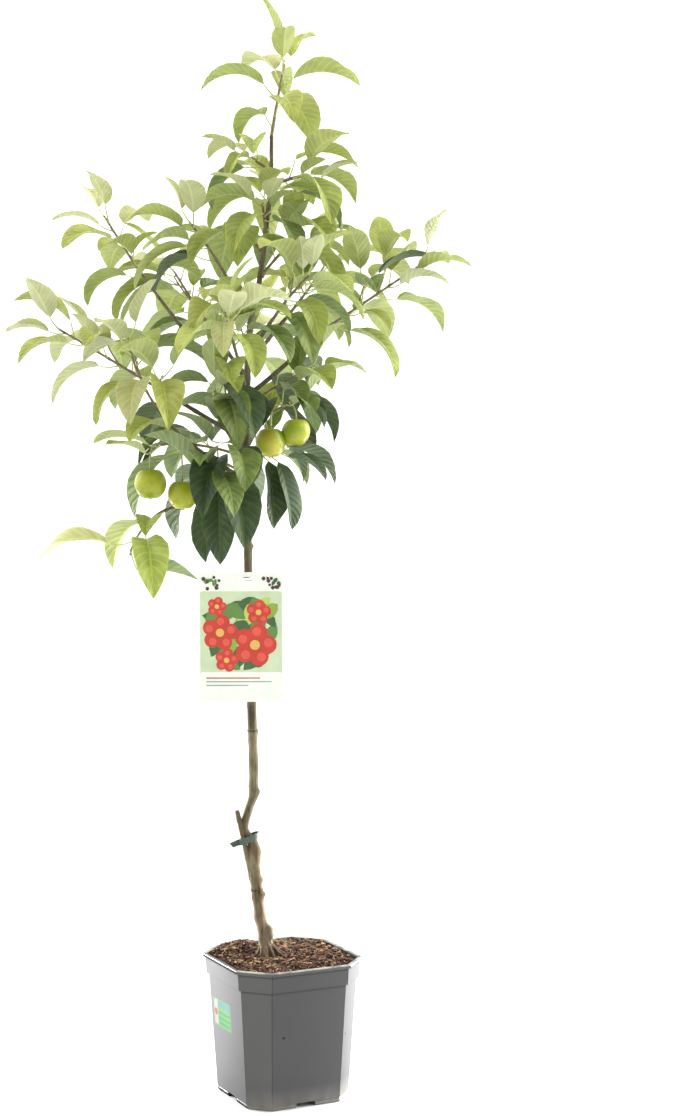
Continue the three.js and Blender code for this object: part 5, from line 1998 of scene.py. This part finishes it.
class APPLETREE_OT_stage(bpy.types.Operator):
    """Pale floor, soft light and the camera"""

    bl_idname = "apple_tree.stage"
    bl_label = "Stage"

    def execute(self, context):
        add = edit.primitive_circle_add
        floor = start_piece(add, "floor", radius=FLOOR_RADIUS, vertices=96, fill_type="NGON")
        finish = Finish("floor_paint", tone("dededc"), 0.9, gloss=0.0)
        shade = finish.grain(3, 2)
        finish.colour(finish.ramp(shade, (0.3, tone("dddddb")), (0.7, tone("e0e0de"))))
        floor.data.materials.append(finish.material)
        self.sky(context.scene)
        for name, row in LAMPS.items():
            self.lamp(name, *row)
        camera = bpy.data.objects.new("camera", bpy.data.cameras.new("camera"))
        camera.data.lens = CAMERA["lens"]
        camera.data.clip_end = CAMERA["far"]
        camera.location = CAMERA["place"]
        camera.rotation_euler = (radians(CAMERA["tilt"]), 0, radians(CAMERA["turn"]))
        context.collection.objects.link(camera)
        context.scene.camera = camera
        context.scene.view_settings.view_transform = "Standard"
        return {"FINISHED"}

    def lamp(self, name, spot, target, width, height, power, spread):
        light = bpy.data.lights.new(name, "AREA")
        light.shape = "RECTANGLE"
        light.size, light.size_y, light.energy = width, height, power
        light.spread = radians(spread)
        lamp = bpy.data.objects.new(name, light)
        lamp.location = spot
        away = Vector(spot) - Vector(target)
        lamp.rotation_euler = away.to_track_quat("Z", "Y").to_euler()
        bpy.context.collection.objects.link(lamp)

    def sky(self, scene):
        """An even white room, dimmer on the side that the tree is seen from."""
        world = bpy.data.worlds.new("white_room")
        world.use_nodes = True
        room = Nodes(world.node_tree)
        axes = room.axes(room.add("TexCoord").outputs["Generated"])

        def share(axis, low, high, at_low, at_high):
            given = {"From Min": low, "From Max": high, "To Min": at_low, "To Max": at_high}
            node = room.add("MapRange", Value=axes[axis], **given)
            node.interpolation_type = "SMOOTHSTEP"
            return node.outputs[0]

        depth = share(1, -0.7, 0.2, SKY["front"], SKY["back"])
        right = share(0, 0.1, 0.95, 1.0, SKY["right"])
        left = share(0, -0.95, -0.1, SKY["left"], 1.0)
        background = room.nodes["Background"]
        room.set(background, "Strength", room.times(room.times(depth, right), left))
        room.set(background, "Color", SKY["colour"])
        scene.world = world


# ---- add-on

STEPS = (APPLETREE_OT_stage, APPLETREE_OT_pot, APPLETREE_OT_soil, APPLETREE_OT_bark, APPLETREE_OT_twigs)
STEPS += (APPLETREE_OT_leaves, APPLETREE_OT_apples, APPLETREE_OT_fittings)


class APPLETREE_PT_sidebar(bpy.types.Panel):
    """Sizes, colours and the pieces of the potted apple tree"""

    bl_label = "Apple tree"
    bl_idname = "APPLETREE_PT_sidebar"
    bl_space_type = "VIEW_3D"
    bl_region_type = "UI"
    bl_category = "Apple tree"

    def draw(self, context):
        for group in (context.scene.apple_tree_sizes, context.scene.apple_tree_colours):
            for name in type(group).__annotations__:
                self.layout.prop(group, name)
        for step in STEPS:
            self.layout.operator(step.bl_idname)


CLASSES = (AppleTreeSizes, AppleTreeColours, *STEPS, APPLETREE_PT_sidebar)


def register():
    for cls in CLASSES:
        bpy.utils.register_class(cls)
    bpy.types.Scene.apple_tree_sizes = PointerProperty(type=AppleTreeSizes)
    bpy.types.Scene.apple_tree_colours = PointerProperty(type=AppleTreeColours)


def unregister():
    del bpy.types.Scene.apple_tree_sizes
    del bpy.types.Scene.apple_tree_colours
    for cls in reversed(CLASSES):
        bpy.utils.unregister_class(cls)


def main():
    register()
    bpy.ops.apple_tree.stage()
    bpy.ops.apple_tree.pot()
    bpy.ops.apple_tree.soil()
    bpy.ops.apple_tree.bark()
    bpy.ops.apple_tree.twigs()
    bpy.ops.apple_tree.leaves()
    bpy.ops.apple_tree.apples()
    bpy.ops.apple_tree.fittings()


if __name__ == "__main__":
    main()
